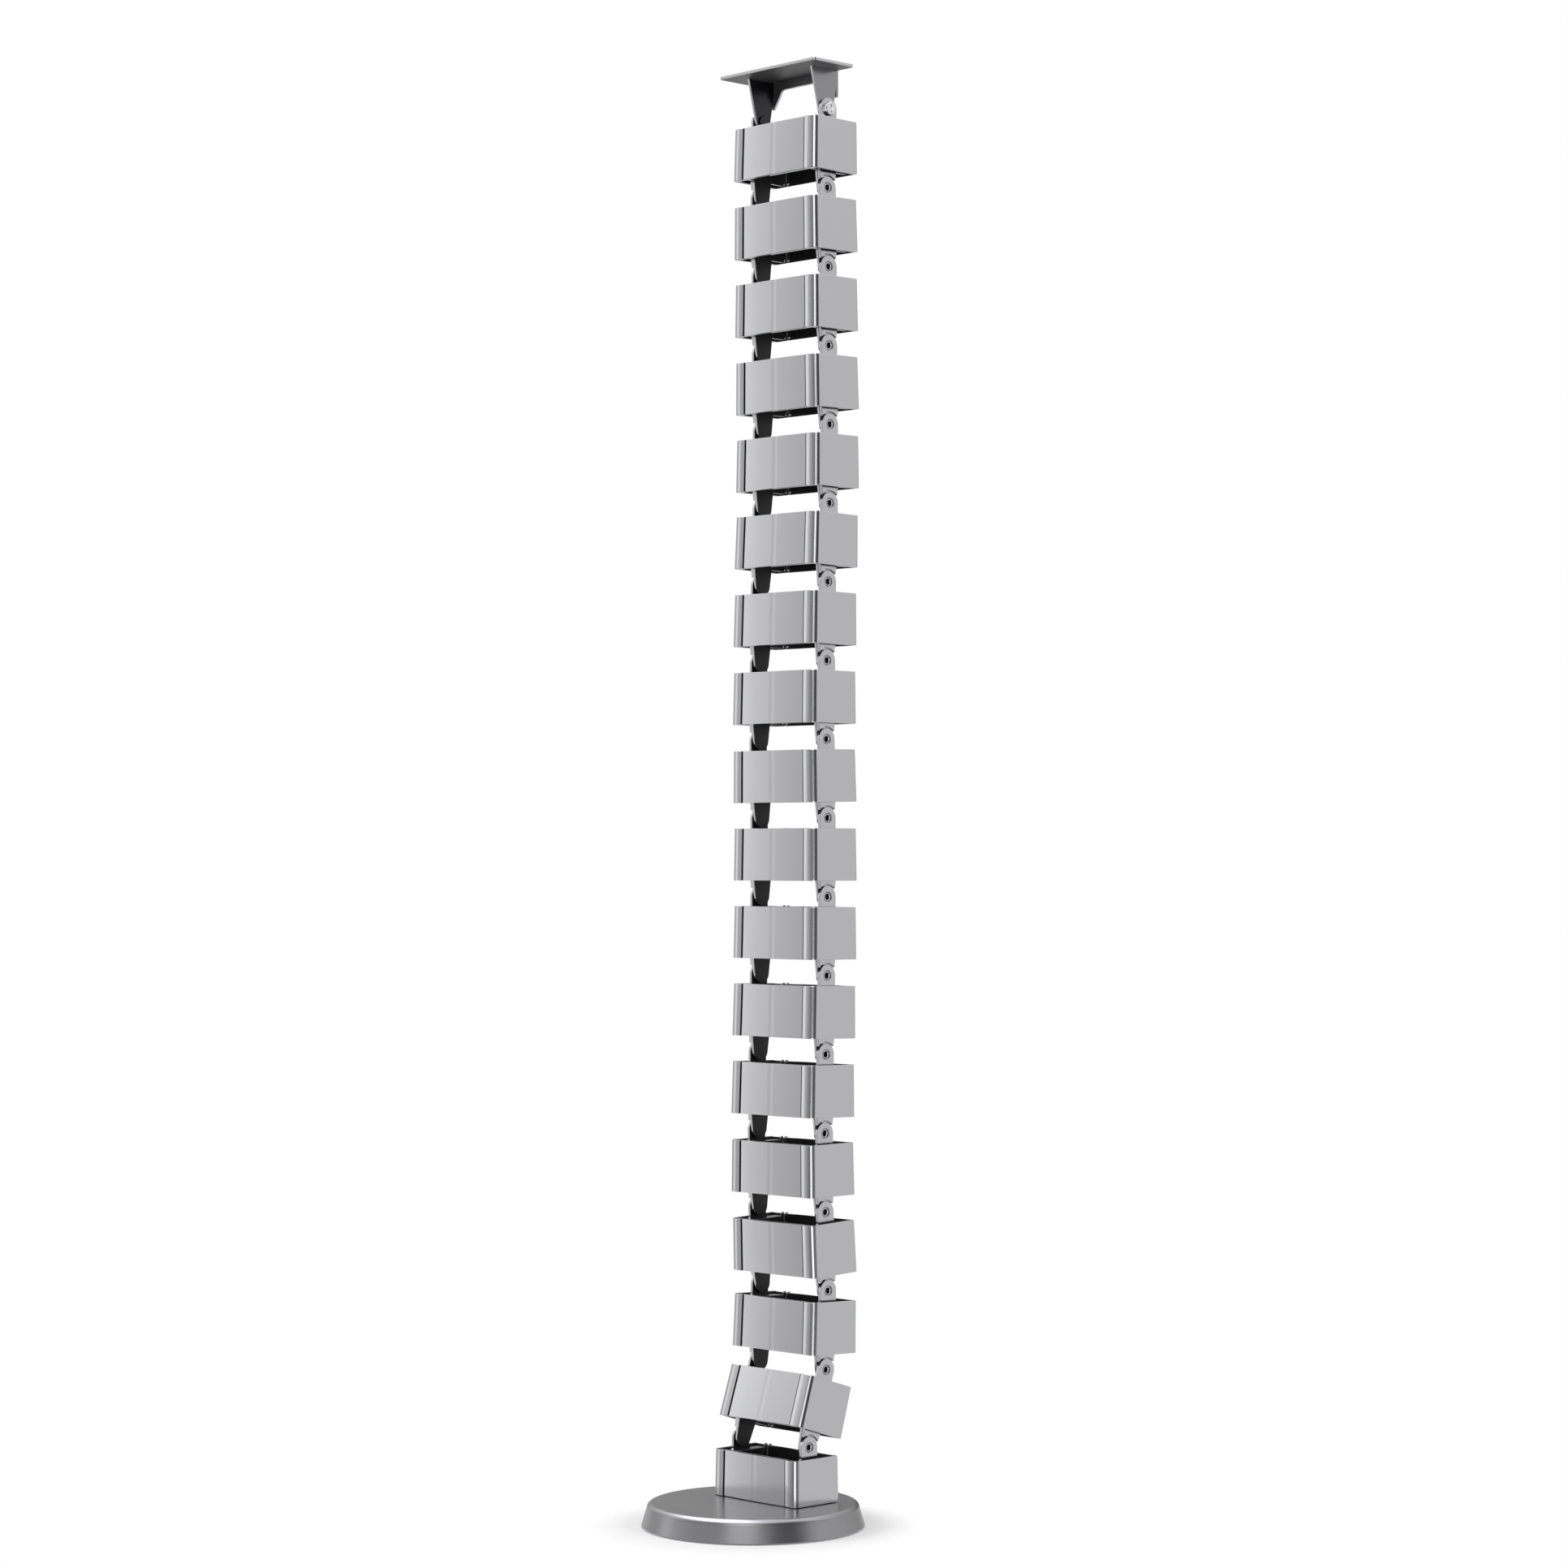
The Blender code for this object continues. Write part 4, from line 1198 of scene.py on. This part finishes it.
LAMPS = (
    ("lamp_left", (-1.4, -2.2, 0.7), 1.6, 34.0),
    ("lamp_right", (2.4, 0.4, 0.4), 1.4, 18.0),
    ("lamp_top", (0.2, -0.2, 2.2), 2.0, 26.0),
)


@dataclass(frozen=True)
class Studio:
    """The pale floor, the soft lights, the surroundings that the metal mirrors, and the camera."""

    floor_z: float
    yaw: float = 46.3
    focal_px: float = 4700.0
    frame_px: float = 1932.0
    horizon_px: float = 1053.0
    distance: float = 1.873
    eye_z: float = -0.3849
    aside: float = -0.001
    sensor: float = 36.0
    floor_radius: float = 0.33
    foot_y: float = -0.022
    floor_tone: float = 0.82
    floor_lift: float = 0.12
    shadow_near: float = 0.054
    shadow_far: float = 0.084
    lamp_aim: float = -0.36
    room_level: float = 0.42
    box_level: float = 2.8
    roof_level: float = 5.0
    box_foot: Point = (0.085, 0.19)
    box_head: Point = (0.375, 0.335)
    below_eye: Point = (0.006, -0.07)
    below_high: Point = (0.60, 0.20)
    roof_edge: Point = (0.55, 0.80)

    def floor(self) -> None:
        """Lays a round white floor, which keeps the shadow near the foot and fades into the white backdrop."""
        bm = bmesh.new()
        bmesh.ops.create_circle(bm, cap_ends=True, segments=96, radius=self.floor_radius)
        bmesh.ops.translate(bm, verts=bm.verts, vec=(0, 0, self.floor_z))
        ground = as_object("studio_floor", bm)
        ground.location.y = self.foot_y
        made = bpy.data.materials.new("floor_white")
        made.use_nodes = True
        sheet, nodes = NodeSheet(made.node_tree), made.node_tree.nodes
        shader = nodes["Principled BSDF"]
        sheet.feed(shader, {
            "Base Color": (self.floor_tone, self.floor_tone, self.floor_tone, 1.0), "Roughness": 0.9,
            "Specular IOR Level": 0.0, "Emission Color": WHITE, "Emission Strength": self.floor_lift,
        })
        plain = sheet.add("Emission", {"Color": WHITE})
        place = sheet.add("TexCoord").outputs["Object"]
        flat = sheet.add("VectorMath", {0: place, 1: (1.0, 1.0, 0.0)}, operation="MULTIPLY")
        away = sheet.add("VectorMath", {0: flat.outputs[0]}, operation="LENGTH").outputs["Value"]
        fade = sheet.ramp(away, self.shadow_near, self.shadow_far, "SMOOTHSTEP")
        rays = sheet.add("LightPath").outputs
        backdrop = sheet.maths("MULTIPLY", rays["Is Camera Ray"], fade)
        shown = sheet.add("MixShader", {0: backdrop, 1: shader.outputs[0], 2: plain.outputs[0]})
        clear = sheet.add("BsdfTransparent")
        laid = sheet.add("MixShader", {0: rays["Is Glossy Ray"], 1: shown.outputs[0], 2: clear.outputs[0]})
        sheet.feed(nodes["Material Output"], {"Surface": laid.outputs[0]})
        ground.data.materials.append(made)
        ground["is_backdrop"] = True

    def lamps(self) -> None:
        """Hangs the lamps: a broad one over the camera's left, a weaker one at the right, one above."""
        for name, place, side, power in LAMPS:
            data = bpy.data.lights.new(name, "AREA")
            data.shape = "RECTANGLE"
            data.size, data.size_y = side, side
            data.energy = power
            lamp = bpy.data.objects.new(name, data)
            lamp.location = place
            lamp.rotation_euler = (Vector((0, 0, self.lamp_aim)) - Vector(place)).to_track_quat("-Z", "Y").to_euler()
            lamp.visible_glossy = False
            bpy.context.scene.collection.objects.link(lamp)

    def surroundings(self) -> None:
        """Sets the world: white to the camera, and a studio of soft boxes and flags for the metal to mirror."""
        world = bpy.data.worlds.new("studio")
        bpy.context.scene.world = world
        world.use_nodes = True
        sheet = NodeSheet(world.node_tree)
        way = sheet.add("SeparateXYZ", {0: sheet.add("TexCoord").outputs["Generated"]}).outputs
        height = way["Z"]
        turn = sheet.ramp(sheet.maths("ARCTAN2", way["Y"], way["X"]), -math.pi, math.pi)
        eye_walls, low_walls, high_walls, boxes, roof = (
            self.ring(sheet, turn, stops) for stops in (EYE_WALLS, LOW_WALLS, HIGH_WALLS, SOFT_BOXES, ROOF_LIGHT))
        below_eye = sheet.ramp(height, *self.below_eye)
        near_walls = sheet.blend(below_eye, eye_walls, low_walls)
        walls = sheet.blend(sheet.ramp(height, *self.below_high), high_walls, near_walls)
        upper = sheet.maths("MULTIPLY", sheet.ramp(height, *self.box_foot), sheet.ramp(height, *self.box_head))
        boxed = sheet.maths("MULTIPLY", sheet.maths("ADD", upper, below_eye), boxes)
        above = sheet.maths("MULTIPLY", sheet.ramp(height, *self.roof_edge), roof)
        lit = sheet.maths("MAXIMUM", walls, sheet.maths("MULTIPLY", boxed, self.box_level))
        room = sheet.maths("MAXIMUM", lit, sheet.maths("MULTIPLY", above, self.roof_level))
        rays = sheet.add("LightPath").outputs
        shiny = sheet.maths("MAXIMUM", rays["Is Glossy Ray"], rays["Is Transmission Ray"])
        unseen = sheet.blend(shiny, self.room_level, room)
        strength = sheet.blend(rays["Is Camera Ray"], unseen, 1.0)
        sheet.feed(world.node_tree.nodes["Background"], {"Strength": strength, "Color": WHITE})

    def ring(self, sheet: NodeSheet, turn: bpy.types.NodeSocket, stops: Sequence[Point]) -> bpy.types.NodeSocket:
        """Draws brightness round the room.

        Args:
            sheet: The world's nodes.
            turn: The direction's turn as 0 to 1.
            stops: Pairs of degrees from the front faces' mirrored direction and brightness.

        Returns:
            The brightness.
        """
        curve = sheet.add("FloatCurve", {"Value": turn})
        points = curve.mapping.curves[0].points
        front = -90 - self.yaw
        turned_stops = sorted((((front + degrees + 180) % 360) / 360, level / 2) for degrees, level in stops)
        first, last = turned_stops[0], turned_stops[-1]
        gap = first[0] + 1 - last[0]
        seam = last[1] + (first[1] - last[1]) * (1 - last[0]) / gap
        whole = [(0.0, seam)] + turned_stops + [(1.0, seam)]
        while len(points) < len(whole):
            points.new(0.5, 0.5)
        for point, (spot, level) in zip(points, whole):
            point.location = (spot, level)
            point.handle_type = "VECTOR"
        curve.mapping.update()
        return sheet.maths("MULTIPLY", curve.outputs[0], 2.0)

    def camera(self) -> None:
        """Stands the camera level at the photograph's viewing angle."""
        yaw = math.radians(self.yaw)
        ahead = Vector((-math.sin(yaw), math.cos(yaw), 0))
        right = Vector((math.cos(yaw), math.sin(yaw), 0))
        data = bpy.data.cameras.new("camera")
        data.sensor_width = self.sensor
        data.sensor_fit = "AUTO"
        data.lens = self.focal_px / self.frame_px * self.sensor
        data.shift_y = (self.horizon_px - self.frame_px / 2) / self.frame_px
        data.clip_start = 0.05
        data.clip_end = 60.0
        camera = bpy.data.objects.new("camera", data)
        camera.location = -ahead * self.distance + right * self.aside + Vector((0, 0, self.eye_z))
        camera.rotation_euler = (math.radians(90), 0, yaw)
        bpy.context.scene.collection.objects.link(camera)
        bpy.context.scene.camera = camera

    def build(self) -> None:
        """Builds the whole studio."""
        self.floor()
        self.lamps()
        self.surroundings()
        self.camera()
        bpy.context.scene.view_settings.view_transform = "Standard"


def middle_of(node: str) -> Vector:
    """Finds the middle of a node's box at its lowest height."""
    low, high = (Vector(corner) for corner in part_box(node))
    return Vector(((low.x + high.x) / 2, (low.y + high.y) / 2, low.z))


def plain_boxes(boxes: Callable[[], Sequence]) -> list[list[float]]:
    """Gives a box as plain lists of numbers."""
    return [[float(value) for value in corner] for corner in boxes()]


def main() -> None:
    """Builds the spine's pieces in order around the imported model."""
    logging.basicConfig(level=logging.INFO, format="%(name)s: %(message)s")
    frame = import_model()
    packed = plain_boxes(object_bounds)
    joints = frame["record"]["behaviour"]["joints"]
    workshop = Workshop(Finishes(ShopEffects()))
    SpineLinks(workshop, joints).build()
    DeskBracket(workshop, Vector(joints[0]["pos_m"]), joints[0]["parent"]).build()
    pad = middle_of("foot_pad")
    RoundFoot(workshop, pad, middle_of("base_screw_left"), joints[-1]["child"]).build()
    Studio(pad.z).build()
    shown = plain_boxes(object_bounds)
    LOG.info("packed %s shown %s", packed, shown)


if __name__ == "__main__":
    main()
